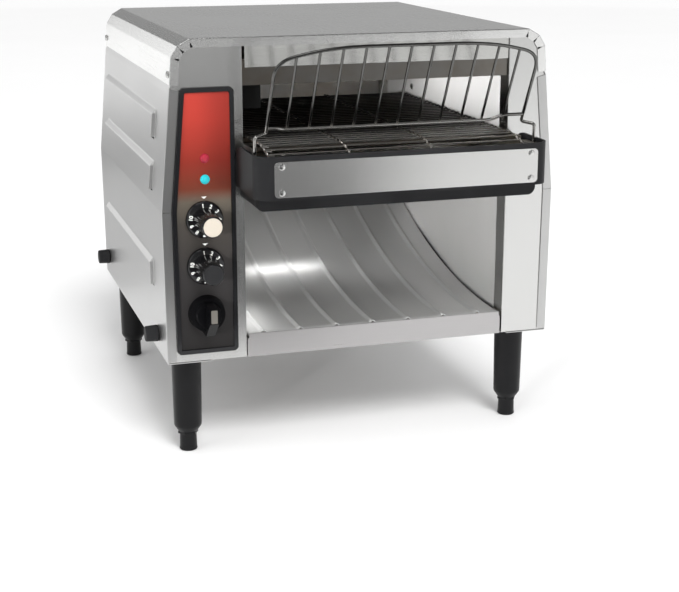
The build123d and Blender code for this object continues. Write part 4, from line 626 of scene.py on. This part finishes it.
def toast_slide():
    """Beaded sheet carried round two tangent arcs, long and shallow, then tight, its edges turned down.

    A bead rises as the squared cosine of the distance from its middle. At angle a from straight down,
    y = centre + (r - rise) sin a and z = centre - (r - rise) cos a.
    """
    low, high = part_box("toast_slide")
    middles = BEAD_MIDDLE + (np.arange(BEADS) - (BEADS - 1) / 2) * BEAD_PITCH
    local = np.linspace(-1.0, 1.0, 13)
    beads = (middles[:, None] + local * BEAD_HALF).reshape(-1)
    edge = np.array([0.0, 0.5, 1.1, 1.8, 2.6]) * MM
    across = np.concatenate([low.x + edge, beads, high.x - edge[::-1]])
    fall = -(1 - edge / edge[-1]) ** 2 * 1.5 * MM
    bead = np.tile(np.cos(local * pi / 2) ** 2, BEADS) * BEAD_HEIGHT
    rise = np.concatenate([fall, bead, fall[::-1]])
    start = -asin((SLIDE_LOW_Y - low.y) / SLIDE_R)
    tight = np.linspace(SLIDE_SWEEP, TAIL_END, 24)[1:]
    angle = np.concatenate([np.linspace(start, SLIDE_SWEEP, 40), tight])[:, None]
    is_tail = angle > SLIDE_SWEEP
    gap = SLIDE_R - TAIL_R
    radius = np.where(is_tail, TAIL_R, SLIDE_R) - rise
    y = SLIDE_LOW_Y + is_tail * gap * sin(SLIDE_SWEEP) + radius * np.sin(angle)
    z = SLIDE_Z + SLIDE_R - is_tail * gap * cos(SLIDE_SWEEP) - radius * np.cos(angle)
    x = np.broadcast_to(across, y.shape)
    piece = mesh_object("slide_sheet", np.stack([x, y, z], -1), quads(*y.shape))
    thick = piece.modifiers.new("sheet", "SOLIDIFY")
    thick.thickness = SHEET
    thick.offset = -1.0
    return piece


finish_piece(toast_slide(), SLIDE_STEEL, "chassis", ["toast_slide"], 60.0)
TRAY_STEEL = brushed("stainless_tray", (0.46, 0.45, 0.45), 0.30, "x", 0.04, 0.9)
softened("crumb_tray", "crumb_pan", TRAY_STEEL, "tray", "stainless_slide", 0.35)

# ---- Wire belt ----
# Flat-flex belt of 1.8 mm stainless wire: each strand crosses the belt, and at every joint it steps
# to the next row over its neighbour's wire. The oven part is heat-tinted, the front turn stays bright,
# and strands low in the loop carry painted shade.
BELT_WIRE = 1.8 * MM
BELT_PITCH = 11.6 * MM
BELT_TOP = 321.0 * MM - BELT_WIRE / 2
BELT_NOSE = FRONT - 33.0 * MM
BELT_SLOPE = radians(13.5)
IDLER_R = 14.0 * MM
DRIVE_TEETH = 11
DRIVE_R = BELT_PITCH / (2 * sin(pi / DRIVE_TEETH))
JOINTS = np.array([-112.6, -34.0, 48.5, 142.6]) * MM
JOG = 2.0 * MM


def middle_of(node):
    """Centre of a CAD node's box."""
    low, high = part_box(node)
    return (low + high) / 2


def belt_track():
    """Closed line of the belt as (y, z) points 0.5 mm apart, and the distance of each along it.

    It runs forward on top, down the sloping nose, round the idler, back under the oven and round the
    drive sprockets; the angles of the turns are measured from straight up towards the front.
    """
    idler = middle_of("front_idler")
    drive = middle_of("drive_shaft")
    dy, dz = drive.y - idler.y, drive.z - idler.z
    low = pi - atan2(dz, dy) - asin((IDLER_R - DRIVE_R) / hypot(dy, dz))

    def turn(centre, radius, start, end):
        angle = np.linspace(start, end, 60)
        return np.stack([centre.y - radius * np.sin(angle), centre.z + radius * np.cos(angle)], 1)

    front = turn(idler, IDLER_R, BELT_SLOPE, low)
    rear = turn(drive, DRIVE_R, low, 2 * pi)
    rough = np.concatenate([[[drive.y, BELT_TOP], [BELT_NOSE, BELT_TOP]], front, rear])
    length = np.concatenate([[0.0], np.cumsum(np.linalg.norm(np.diff(rough, axis=0), axis=1))])
    fine = np.arange(0.0, length[-1], 0.5 * MM)
    line = np.stack([np.interp(fine, length, rough[:, k]) for k in (0, 1)], 1)
    return line, fine, length[-1]


def on_track(distance, rise, track):
    """(y, z) at a distance along the belt and a rise off its line, on the outside of the loop."""
    line, fine, total = track
    distance = distance % total

    def at(d):
        return np.stack([np.interp(d % total, fine, line[:, k], period=total) for k in (0, 1)], -1)

    way = at(distance + 0.6 * MM) - at(distance - 0.6 * MM)
    way /= np.linalg.norm(way, axis=-1, keepdims=True)
    out = np.stack([way[..., 1], -way[..., 0]], -1)
    return at(distance) + out * rise[..., None]


def tubes(paths, radius, sides):
    """Round wires along paths (wires, points, 3), as points and faces; their ends are closed.

    At each point the ring lies across the path: its first axis is the path's direction crossed with
    a fixed slanting line, its second the direction crossed with the first.
    """
    paths = np.asarray(paths, float)
    way = np.gradient(paths, axis=1)
    way /= np.linalg.norm(way, axis=-1, keepdims=True)
    slant = np.array([0.231, 0.853, 0.467])
    first = np.cross(way, slant)
    first /= np.linalg.norm(first, axis=-1, keepdims=True)
    second = np.cross(way, first)
    angle = 2 * pi * np.arange(sides) / sides
    ring = np.cos(angle)[:, None] * first[:, :, None] + np.sin(angle)[:, None] * second[:, :, None]
    points = paths[:, :, None] + np.asarray(radius) * ring
    wires, count = paths.shape[:2]
    shift = (np.arange(wires) * count * sides)[:, None, None]
    faces = (quads(count, sides, wrap=True)[None] + shift).reshape(-1, 4).tolist()
    start = np.arange(sides) + shift[:, 0]
    faces += start[:, ::-1].tolist() + (start + (count - 1) * sides).tolist()
    return points.reshape(-1, 3), faces


def strand_path():
    """One strand as (x, distance back along the belt, rise), with its bends rounded."""
    w = BELT_WIRE
    p = BELT_PITCH_TRUE
    points = [(JOINTS[0] + 4 * w, p + JOG, -0.6 * w), (JOINTS[0], p + JOG, 0.0)]
    points += [(JOINTS[0], p, w), (JOINTS[0], p / 2, 0.3 * w), (JOINTS[0], 0.0, 0.0)]
    row = 0.0
    for x in JOINTS[1:]:
        points += [(x, row, 0.0), (x, row - p / 2, 0.3 * w), (x, row - p, w)]
        row -= p + JOG
        points.append((x, row, 0.0))
    points.append((JOINTS[-1] - 4 * w, row, -0.6 * w))
    return rounded(points, 1.7 * MM, 4)


track = belt_track()
STRANDS = round(track[2] / BELT_PITCH)
BELT_PITCH_TRUE = track[2] / STRANDS


def wire_belt():
    """Every strand of the belt: one strand's path laid on the track, a pitch further each time."""
    strand = strand_path()
    row = (np.arange(STRANDS) + 0.5)[:, None] * BELT_PITCH_TRUE
    distance = row + strand[None, :, 1]
    rise = np.broadcast_to(strand[:, 2], distance.shape)
    x = np.broadcast_to(strand[:, 0], distance.shape)
    paths = np.concatenate([x[..., None], on_track(distance, rise, track)], -1)
    points, faces = tubes(paths, BELT_WIRE / 2, 7)
    return solid("wire_belt", points, faces)


def belt_steel():
    """Belt wire: bright at the front turn, straw and dark grey-brown across the oven, painted shade low in
    the loop.
    """
    finish = Finish("belt_steel", Metallic=1.0)
    x, y, z = finish.axes()
    scale = finish.noise(60.0, 3.0)
    heat = (y + scale * 0.03).ease(FRONT, FRONT + 0.06)
    # Painted shade: strands more than about 2 cm under the top run are darkened.
    below = z.ease(BELT_TOP - 0.016, BELT_TOP - 0.022)
    heat = heat.maths("MAXIMUM", heat, below)
    finish.set(Base_Color=heat.blend(rgb(0.74, 0.71, 0.67), rgb(0.055, 0.052, 0.05)))
    finish.set(Roughness=heat * 0.10 + scale * 0.08 + 0.16)
    finish.bump(finish.noise(900.0), 0.00002, 0.3)
    return finish.material


BELT_NODES = ["belt_upper_run", "belt_front_turn", "belt_lower_run", "belt_rear_turn"]
finish_piece(wire_belt(), belt_steel(), "chassis", BELT_NODES, 50.0)

# ---- Shafts, sprockets and drive ----
# Turned steel shafts and cut sprockets in bronze bushes, a roller chain down to the gearmotor, and a
# small fan; all of it sits behind the control column.
SHAFT_STEEL = brushed("shaft_steel", (0.52, 0.51, 0.49), 0.3, "x", 0.06)
BRONZE = brushed("bush_bronze", (0.58, 0.42, 0.24), 0.35, "x", 0.05)


def painted(name, tone, roughness, orange_peel=0.3, shine=0.3):
    """Baked paint: an even dark tone with a fine orange peel and faint clouds of dust."""
    dust, peel = (16.0, 4.0, 0.6, 0.10), (650.0, 2.0, 0.5, 0.06)
    pale, bump = shade(tone, 1.25, 0.004), (0.00003, orange_peel)
    rough = roughness - 0.08
    return grained(name, shade(tone), pale, dust, peel, rough, bump, (0.3, 0.8), Specular_IOR_Level=shine)


BLACK_PAINT = painted("black_paint", (0.007, 0.007, 0.0075), 0.42, 0.2, 0.13)
MOTOR_PAINT = painted("motor_paint", (0.09, 0.09, 0.10), 0.55, 0.6)


def moulded(name, tone, roughness, coat=0.0, grain=0.25, shine=0.4):
    """Moulded plastic: an even tone with a fine spark-eroded grain."""
    rub, grit = (45.0, 3.0, 0.6, 0.10), (1400.0, 2.0, 0.5, 0.05)
    gloss = {"Coat_Weight": coat, "Coat_Roughness": 0.08, "Specular_IOR_Level": shine}
    bump = (0.00002, grain)
    return grained(name, shade(tone), shade(tone, 1.18, 0.003), rub, grit, roughness - 0.07, bump, **gloss)


BLACK_PLASTIC = moulded("black_plastic", (0.020, 0.020, 0.021), 0.42)
dress(SHAFT_STEEL, "drive_shaft", "drive_sprockets", "front_idler")
dress(SHAFT_STEEL, "chain_sprocket", "motor_sprocket", "drive_chain")
dress(BRONZE, "shaft_bearings")
dress(MOTOR_PAINT, "gearmotor")
dress(BLACK_PLASTIC, "fan_frame", "fan_rotor", "cord_gland", "control_bodies")
# Painted shade: the sensor shield is almost pure black, standing for the dark void deep in the mouth.
dress(painted("shield_painted_shade", (0.002, 0.002, 0.002), 0.6, 0.2), "sensor_shield")

# ---- Bumper ----
# Black painted channel round the belt's front turn, with a satin stainless plate riveted on its face
# and a dark pan under the belt. The plate is left plain.
softened("front_bumper", "bumper_channel", BLACK_PAINT, "chassis", "black_paint", 0.7, 3)
softened("bumper_plate", "bumper_face", STAINLESS_FRONT, "chassis", "stainless_front", 0.25)
dress(BLACK_PAINT, "bumper_pan")

# ---- Loading rack ----
# Leaning rack of plated wire: one bent frame wire hooked into two sockets, a base wire and
# eleven slats welded between them. Above the base wire its tone is painted dark as a dark reflection.
RACK_R = 1.6 * MM
SLAT_R = 1.3 * MM
SLATS = 11
SLAT_PITCH = 21.6 * MM
SLAT_MIDDLE = 15.0 * MM
RACK_LOW = 338.0 * MM
RACK_SHOULDER = 404.5 * MM
RACK_FALL = 52.0 * MM
RACK_HALF = 128.2 * MM
RACK_CENTRE = 16.0 * MM


def chrome():
    """Plated wire: bright low down, painted dark above the base wire as a dark reflection, with a few dull
    spots where bread rubs it.
    """
    finish = Finish("rack_plating", Metallic=1.0)
    wear = finish.noise(70.0, 4.0, 0.65)
    worn = wear.ease(0.45, 0.75)
    z = finish.axes()[2]
    # Painted reflection: above the base wire the plating takes a dark tone.
    upper = z.ease(RACK_LOW + 2.5 * MM, RACK_LOW + 6.0 * MM)
    dark = worn.blend(rgb(0.13, 0.13, 0.125), rgb(0.10, 0.098, 0.094))
    finish.set(Base_Color=upper.blend(rgb(0.50, 0.49, 0.47), dark), Roughness=worn * 0.12 + 0.15)
    finish.bump(finish.noise(800.0), 0.00002, 0.25)
    return finish.material


def joined(parts):
    """Several (points, faces) pairs as one."""
    points, faces, shift = [], [], 0
    for some, some_faces in parts:
        points.append(some)
        faces += [[k + shift for k in face] for face in some_faces]
        shift += len(some)
    return np.concatenate(points), faces


def loading_rack():
    """Frame wire through its feet, knees and crown, a straight base wire, and the slats.

    A point at height z stands at y = base + lean (z - low). The crown falls from its flat middle to
    the shoulders in proportion to the distance past the middle.
    """
    low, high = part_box("loading_rack")
    base_y, foot_y = FRONT - 50.0 * MM, FRONT - 56.0 * MM
    top = high.z - RACK_R
    lean = (low.y + RACK_R - base_y) / (top - RACK_LOW)
    knee = RACK_LOW - 5.0 * MM
    start = RACK_LOW - 3.0 * MM
    x0, x1 = RACK_CENTRE - RACK_HALF, RACK_CENTRE + RACK_HALF

    def at(x, z):
        return (x, base_y + lean * (z - RACK_LOW), z)

    left_foot, right_foot = low.x + RACK_R, high.x - RACK_R
    half = [(left_foot, foot_y, low.z), (left_foot, foot_y, knee), at(x0, start)]
    half += [at(x0, RACK_SHOULDER), at(x0 + RACK_FALL, top)]
    rest = [at(x1 - RACK_FALL, top), at(x1, RACK_SHOULDER), at(x1, start)]
    rest += [(right_foot, foot_y, knee), (right_foot, foot_y, low.z)]
    radii = np.array([3.0, 3.0, 18.0, 36.0, 36.0, 18.0, 3.0, 3.0]) * MM
    frame_wire = rounded(half + rest, radii, 10)
    bends = [(x0, 0.0, 1.6), (x0, 9.0, 1.7), (x0, 17.0, 0.0), (x0, 120.0, 0.0), (x1, -34.0, 0.0)]
    bends += [(x1, -21.0, 4.6), (x1, 0.0, 4.6)]
    base = rounded([at(x + d * MM, RACK_LOW + up * MM) for x, d, up in bends], 5.0 * MM, 6)
    x = SLAT_MIDDLE + (np.arange(SLATS) - (SLATS - 1) / 2) * SLAT_PITCH
    out = np.maximum(np.abs(x - RACK_CENTRE) - (RACK_HALF - RACK_FALL), 0.0)
    crown = top - out * (top - RACK_SHOULDER) / RACK_FALL
    z = RACK_LOW + (crown - RACK_LOW) * np.linspace(0.0, 1.0, 8)[:, None]
    slats = np.stack([np.broadcast_to(x, z.shape), base_y + lean * (z - RACK_LOW), z], -1)
    wires = [tubes(frame_wire[None], RACK_R, 16), tubes(base[None], RACK_R, 16)]
    wires.append(tubes(slats.transpose(1, 0, 2), SLAT_R, 12))
    return solid("rack_wires", *joined(wires))


finish_piece(loading_rack(), chrome(), "rack", ["loading_rack"], 50.0)

# ---- Control panel ----
# Black moulded bezel snapped on the left column, round a printed polyester overlay that fades from
# red at the top to black at the bottom. Small white triangles point at the two dials.
BEZEL_BLACK = moulded("bezel_black", (0.006, 0.006, 0.007), 0.20, 0.2)
softened("control_bezel", "bezel_frame", BEZEL_BLACK, "chassis", "black_plastic", 0.9, 3)

PRINT_ROUND = 2.6 * MM
PRINT_CORNERS = (
    (-1, -176.0, 1, 366.3), (1, -138.1, 1, 366.3), (-1, -185.1, -1, 120.3), (1, -138.1, -1, 120.3),
)


def overlay_print():
    """Printed overlay: red upper part, then a fade through taupe and grey to near black; the red part
    grows darker towards its right edge.
    """
    finish = Finish("overlay_print", Coat_Weight=0.0, Specular_IOR_Level=0.25)
    x, y, z = finish.axes()
    low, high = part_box("control_overlay")
    share = (z - low.z) / (high.z - low.z)
    stops = (
        (0.0, rgb(0.012, 0.011, 0.011)),
        (0.30, rgb(0.028, 0.026, 0.026)),
        (0.50, rgb(0.052, 0.046, 0.040)),
        (0.585, rgb(0.100, 0.085, 0.066)),
        (0.635, rgb(0.130, 0.028, 0.014)),
        (0.74, rgb(0.21, 0.021, 0.012)),
        (0.90, rgb(0.39, 0.036, 0.024)),
        (1.0, rgb(0.42, 0.040, 0.028)),
    )
    dim = x.ease(low.x + 14 * MM, high.x - 2 * MM) * share.ease(0.59, 0.66) * 0.42
    print_colour = dim.blend(share.ramp(*stops), rgb(0.0, 0.0, 0.0))
    outside = None
    for side, at_x, rise, at_z in PRINT_CORNERS:
        u = (x - at_x * MM) * side
        v = (z - at_z * MM) * rise
        square = u.maths("MAXIMUM", u, 0.0) * u + v.maths("MAXIMUM", v, 0.0) * v
        beyond = square.ease(PRINT_ROUND ** 2, (PRINT_ROUND * 1.12) ** 2)
        beyond = beyond * v.maths("GREATER_THAN", v, 0.0)
        outside = beyond if outside is None else outside.maths("MAXIMUM", outside, beyond)
    finish.set(Base_Color=outside.blend(print_colour, rgb(0.008, 0.008, 0.009)))
    grit = finish.noise(1100.0, 2.0)
    finish.set(Roughness=grit * 0.08 + 0.34)
    finish.bump(grit, 0.00002, 0.2)
    return finish.material


softened("control_overlay", "overlay_sheet", overlay_print(), "chassis", "overlay_print", 0.15)

WHITE_INK = moulded("white_ink", (0.82, 0.82, 0.80), 0.5)
OVERLAY_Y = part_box("control_overlay")[0].y
POINTER_X = -162.0 * MM


def pointer(name, z):
    """Printed white triangle, point down, on 0.05 mm film: two rings of three points."""
    ring = np.array([(-2.7, 0.9), (2.7, 0.9), (0.0, -1.3)]) * MM
    points = [(POINTER_X + u, OVERLAY_Y + d, z + v) for d in (-0.05 * MM, 0.0) for u, v in ring]
    faces = [(0, 1, 2), (5, 4, 3), (0, 3, 4, 1), (1, 4, 5, 2), (2, 5, 3, 0)]
    finish_piece(solid(name, points, faces), WHITE_INK, "chassis", [], 30.0)


pointer("speed_pointer", 268.6 * MM)
pointer("power_pointer", 222.6 * MM)

# ---- Indicator lamps ----
# Two small domed lenses, red above and blue-green below.


def lathe(profile, centre, axis, sides=48, dip=None, turn=0.0):
    """Surface turned about a line: profile rows are (distance along the axis, radius).

    The axis is "x", "y" or "z"; a row at distance d and radius r makes a ring of points
    centre + d axis + r (cos a, sin a). Where a dip is given, rows have a third value, and their
    radius is times 1 - value dip(a). Rings of radius zero close the surface.
    """
    profile = np.asarray(profile, float)
    angle = 2 * pi * np.arange(sides) / sides
    radius = profile[:, 1:2] * (1 - profile[:, 2:3] * dip(angle) if dip else 1)
    angle = angle + turn
    turned = {"x": (1, 2, 0), "y": (0, 2, 1), "z": (0, 1, 2)}[axis]
    points = np.zeros((len(profile), sides, 3))
    points[..., turned[0]] = radius * np.cos(angle)
    points[..., turned[1]] = radius * np.sin(angle)
    points[..., turned[2]] = profile[:, 0:1]
    return points.reshape(-1, 3) + np.asarray(centre), quads(len(profile), sides, wrap=True).tolist()


def dome(radius, height, base, steps=8):
    """Profile of a shallow dome towards -distance: an ellipse from the rim to the pole."""
    a = np.linspace(0.0, pi / 2, steps)
    return np.stack([base - height * np.sin(a), radius * np.cos(a)], 1)


LAMP_R = 4.6


def lamp(node, name, slot, tone, glow):
    """Clear coloured lens: a rim ring, then a shallow dome, glowing faintly from inside."""
    spot = middle_of(node)
    rim = [(9.0, 0.0), (9.0, LAMP_R), (-0.3, LAMP_R), (-0.6, LAMP_R * 0.97), (-0.5, LAMP_R * 0.84)]
    rows = np.concatenate([rim, dome(LAMP_R * 0.84, 1.7, -0.5)]) * MM
    piece = solid(name, *lathe(rows, (spot.x, OVERLAY_Y, spot.z), "y"))
    finish = Finish(name + "_lens", Coat_Weight=0.8, Coat_Roughness=0.04)
    facets = finish.noise((700.0, 200.0, 700.0), 1.0)
    finish.set(Base_Color=facets.blend(shade(tone), shade(tone, 0.6)), Roughness=facets * 0.1 + 0.15)
    finish.set(Emission_Color=rgb(*tone), Emission_Strength=glow)
    finish_piece(piece, finish.material, "chassis", [node])


lamp("power_lamp", "red_lamp", "lamp_red", (0.36, 0.008, 0.030), 0.12)
lamp("ready_lamp", "blue_lamp", "lamp_blue", (0.008, 0.42, 0.47), 0.35)

# ---- Dial knobs ----
# Two glossy skirted knobs with fluted grips and inlaid caps, white numbers round their skirts.
KNOB_X = -162.3 * MM
KNOB_BLACK = moulded("knob_black", (0.003, 0.003, 0.0035), 0.15, 0.15, 0.06)
GRIP_R = 11.2
SKIRT_R = 18.3
KNOB_DEPTH = 39.0
FLUTES = 12


def dial_knob(dial, z):
    """Knob turned about its axis; its grip dips at each flute.

    radius = profile (1 - 0.045 (max(0, cos flutes a))^6) on the grip's rows, plain elsewhere.
    """
    foot = [
        (0.0, 0.0, 0), (0.0, SKIRT_R * 0.97, 0), (-0.5, SKIRT_R, 0), (-2.6, SKIRT_R, 0),
        (-4.2, SKIRT_R - 1.0, 0), (-4.8, SKIRT_R - 2.2, 0), (-5.0, GRIP_R + 0.5, 0),
        (-5.8, GRIP_R + 0.2, 0), (-8.0, GRIP_R, 0), (-9.5, GRIP_R - 0.1, 1), (-14.0, GRIP_R - 0.2, 1),
    ]
    face = [
        (6.0, GRIP_R - 0.4, 1), (2.0, GRIP_R - 0.7, 1), (0.6, GRIP_R - 1.0, 0.6), (0.0, GRIP_R - 1.7, 0),
        (0.2, GRIP_R - 2.2, 0), (1.0, GRIP_R - 2.3, 0), (1.0, 0.0, 0),
    ]
    rows = [(KNOB_DEPTH + d, r, s) for d, r, s in foot] + face
    rows = np.array(rows) * (MM, MM, 1)

    def flutes(a):
        return 0.045 * np.maximum(0.0, np.cos(FLUTES * a)) ** 6

    front = (KNOB_X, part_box(dial + "_knob")[0].y, z)
    piece = solid(dial + "_dial", *lathe(rows, front, "y", FLUTES * 10, flutes))
    finish_piece(piece, KNOB_BLACK, dial + "_control", [dial + "_knob"], 38.0)


def face_cap(dial, z, finish, slot):
    """Inlaid cap: a flat disc with a rounded rim and a shallow dished middle."""
    low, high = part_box(dial + "_knob_cap")
    r = (high.x - low.x) / 2 / MM
    rows = [(1.2, 0.0), (1.2, r), (0.2, r), (0.0, r - 0.5), (0.1, r * 0.8), (0.35, r * 0.5), (0.45, 0.0)]
    rows = np.array(rows) * MM
    piece = solid(dial + "_cap", *lathe(rows, (KNOB_X, low.y, z), "y"))
    finish_piece(piece, finish, dial + "_control", [dial + "_knob_cap"])


def numeral(dial, z, number):
    """Number on a skirt, cut from 0.05 mm film: the built-in face, made a mesh and turned."""
    name = "%s_number_%d" % (dial, number)
    curve = bpy.data.curves.new(name, "FONT")
    curve.body = str(number)
    curve.size = NUMBER_SIZE
    curve.align_x = curve.align_y = "CENTER"
    curve.extrude = 0.05 * MM
    curve.offset = NUMBER_SIZE * 0.022
    outline = placed(name + "_line", curve)
    piece = placed(name, meshed(outline))
    bpy.data.objects.remove(outline)
    turn = NUMBER_FIRST - (number - 1) * NUMBER_STEP
    c, s = cos(turn), sin(turn)
    skirt_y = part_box(dial + "_knob")[0].y + (KNOB_DEPTH - 5.0) * MM
    rows = ((c, -s, 0, KNOB_X - NUMBER_R * s), (0, 0, -1, skirt_y), (s, c, 0, z + NUMBER_R * c))
    piece.data.transform(Matrix((*rows, (0, 0, 0, 1))))
    finish_piece(piece, WHITE_INK, dial + "_control", [], 30.0)


NUMBER_R = 13.9 * MM
NUMBER_SIZE = 5.3 * MM
NUMBER_STEP = radians(32.0)
NUMBER_FIRST = radians(8.0)
CAP_IVORY = moulded("cap_ivory", (0.40, 0.36, 0.305), 0.35, 0.1)
CAP_GREY = moulded("cap_grey", (0.012, 0.012, 0.013), 0.35, 0.05)
for dial, *cap in (("speed", CAP_IVORY, "cap_ivory"), ("power", CAP_GREY, "cap_grey")):
    z = middle_of(dial + "_knob_cap").z
    dial_knob(dial, z)
    face_cap(dial, z, *cap)
    for number in range(1, 11):
        numeral(dial, z, number)

# ---- Function knob ----
# Bar knob on a stepped round base; its bar stands upright at rest. A satin grey strip is let into the
# flat end of the bar.
BAR_BLACK = moulded("bar_black", (0.002, 0.002, 0.0025), 0.22, 0.0, 0.06, 0.09)
BAR_Z = 154.0 * MM
softened("function_knob", "function_bar_knob", BAR_BLACK, "function_control", "knob_black", 1.0, 3)


def bar_strip():
    """Strip on the bar's end: an outline with cut corners, its rim sloping in to a smaller face."""
    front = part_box("function_knob")[0].y
    outline = [(-3.1, -0.6), (-2.6, -1.2), (2.6, -1.2), (3.1, -0.6)]
    outline = np.array(outline + [(3.1, 11.4), (2.6, 12.0), (-2.6, 12.0), (-3.1, 11.4)])
    middle = outline.mean(axis=0)
    rings = ((0.4, 0.96), (0.4, 1.0), (-0.02, 1.0), (-0.06, 0.93))
    points = np.array([np.insert(middle + (outline - middle) * s, 1, d, axis=1) for d, s in rings]) * MM
    points += (KNOB_X, front, BAR_Z)
    faces = quads(4, 8, wrap=True).tolist() + [list(range(8)), list(range(24, 32))]
    return solid("bar_strip", points, faces)


STRIP_GREY = moulded("strip_grey", (0.105, 0.098, 0.086), 0.4)
finish_piece(bar_strip(), STRIP_GREY, "function_control", [], 30.0)

# ---- Legs and feet ----
# Tapered black plastic legs bolted through the base; a levelling foot screws into each.
LEG_BLACK = moulded("leg_black", (0.003, 0.003, 0.0035), 0.34, 0.0, 0.25, 0.22)
FOOT_BLACK = moulded("foot_black", (0.004, 0.004, 0.0045), 0.36, 0.0, 0.25, 0.22)


def legs():
    """Four legs, each turned about its foot's axis."""
    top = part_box("left_side_panel")[0].z / MM
    rows = [
        (top, 0.0), (top, 14.6), (top - 0.8, 15.2), (30.0, 14.2), (27.6, 14.1), (26.2, 13.7),
        (21.2, 10.3), (20.5, 9.8), (20.5, 4.2), (24.0, 4.1), (24.0, 0.0),
    ]
    spots = [middle_of(corner + "_foot") for corner in CORNERS]
    parts = [lathe(np.array(rows) * MM, (spot.x, spot.y, 0.0), "z", 56) for spot in spots]
    return solid("leg_set", *joined(parts))


CORNERS = ("front_left", "front_right", "rear_left", "rear_right")
finish_piece(legs(), LEG_BLACK, "chassis", ["legs"])
for corner in CORNERS:
    softened(corner + "_foot", corner + "_leveller", FOOT_BLACK, "foot_" + corner, "foot_black", 0.5)

# ---- Wall spacers ----
# Dark rubber bumpers plugged into the side panels near the bottom.


def rubber(name, tone):
    """Soft rubber: matt, dusty, with a fine pebble."""
    dust, pebble = (90.0, 4.0, 0.6, 0.2), (1500.0, 2.0, 0.5, 0.0)
    pale, bump = shade(tone, 1.5, 0.01), (0.00004, 0.5)
    return grained(name, shade(tone), pale, dust, pebble, 0.55, bump, Specular_IOR_Level=0.3)


SPACER_RUBBER = rubber("spacer_rubber", (0.010, 0.010, 0.011))
softened("side_spacers", "wall_spacers", SPACER_RUBBER, "chassis", "spacer_rubber", 1.2, 3)

# ---- Screws and rivets ----
# Bright pan-head screws with cross recesses hold the cover and an oven wall, domed rivets the bumper's
# plate, and hexagon nuts the leg studs.
SCREW_STEEL = brushed("screw_steel", (0.62, 0.62, 0.61), 0.22, "x", 0.03)
COVER_SCREW_X, COVER_SCREW_Z = 191.75, 385.7
WALL_SCREW = (153.2, 134.3, 328.0)
RIVET_X, RIVET_Z = (-106.8, 140.0), (285.5, 309.5)
STUD_X, STUD_Y = (-176.5, 176.5), (-111.7, 219.3)


def cross_screw(place, out):
    """Screw along X whose head faces out (1 or -1): shank, rounded head and a cross-shaped recess.

    The recess's radius at angle a is r (0.34 + 0.66 |cos 2a|^4).
    """
    rows = np.array([
        (-5.3, 0.0, 0), (-5.3, 1.9, 0), (0.0, 1.9, 0), (0.0, 3.25, 0), (0.25, 3.4, 0), (0.7, 3.3, 0),
        (1.25, 2.9, 0), (1.6, 2.4, 0), (1.72, 2.2, 0.5), (1.72, 2.0, 1), (0.9, 1.8, 1), (0.9, 0.0, 0),
    ])

    def cross(a):
        return 0.66 * (1 - np.abs(np.cos(2 * a)) ** 4)

    return lathe(rows * (out * MM, MM, 1), np.array(place) * MM, "x", 40, cross, 0.5)


def fixings():
    """All screws, rivets and nuts, at the places of the CAD node."""
    cover_y = (FRONT_MM + 6.8, REAR_MM - 7.0)
    spots = [(side * COVER_SCREW_X, y, COVER_SCREW_Z) for side in (-1, 1) for y in cover_y]
    parts = [cross_screw(spot, np.sign(spot[0])) for spot in spots] + [cross_screw(WALL_SCREW, -1)]
    shank = [(-229.45, 0.0), (-229.45, 2.0), (-232.7, 2.0), (-232.7, 3.2)]
    rivet = np.concatenate([shank, dome(3.2, 1.0, -232.75, 9)]) * MM
    spots = [(x * MM, 0.0, z * MM) for x in RIVET_X for z in RIVET_Z]
    parts += [lathe(rivet, spot, "y", 40) for spot in spots]
    nut = [(105.8, 0.0), (105.8, 7.0), (106.3, 7.5), (111.3, 7.5), (111.8, 7.0), (111.8, 0.0)]
    spots = [(x * MM, y * MM, 0.0) for x in STUD_X for y in STUD_Y]
    parts += [lathe(np.array(nut) * MM, spot, "z", 6) for spot in spots]
    return solid("fixings", *joined(parts))


finish_piece(fixings(), SCREW_STEEL, "chassis", ["screws_and_rivets"], 40.0)
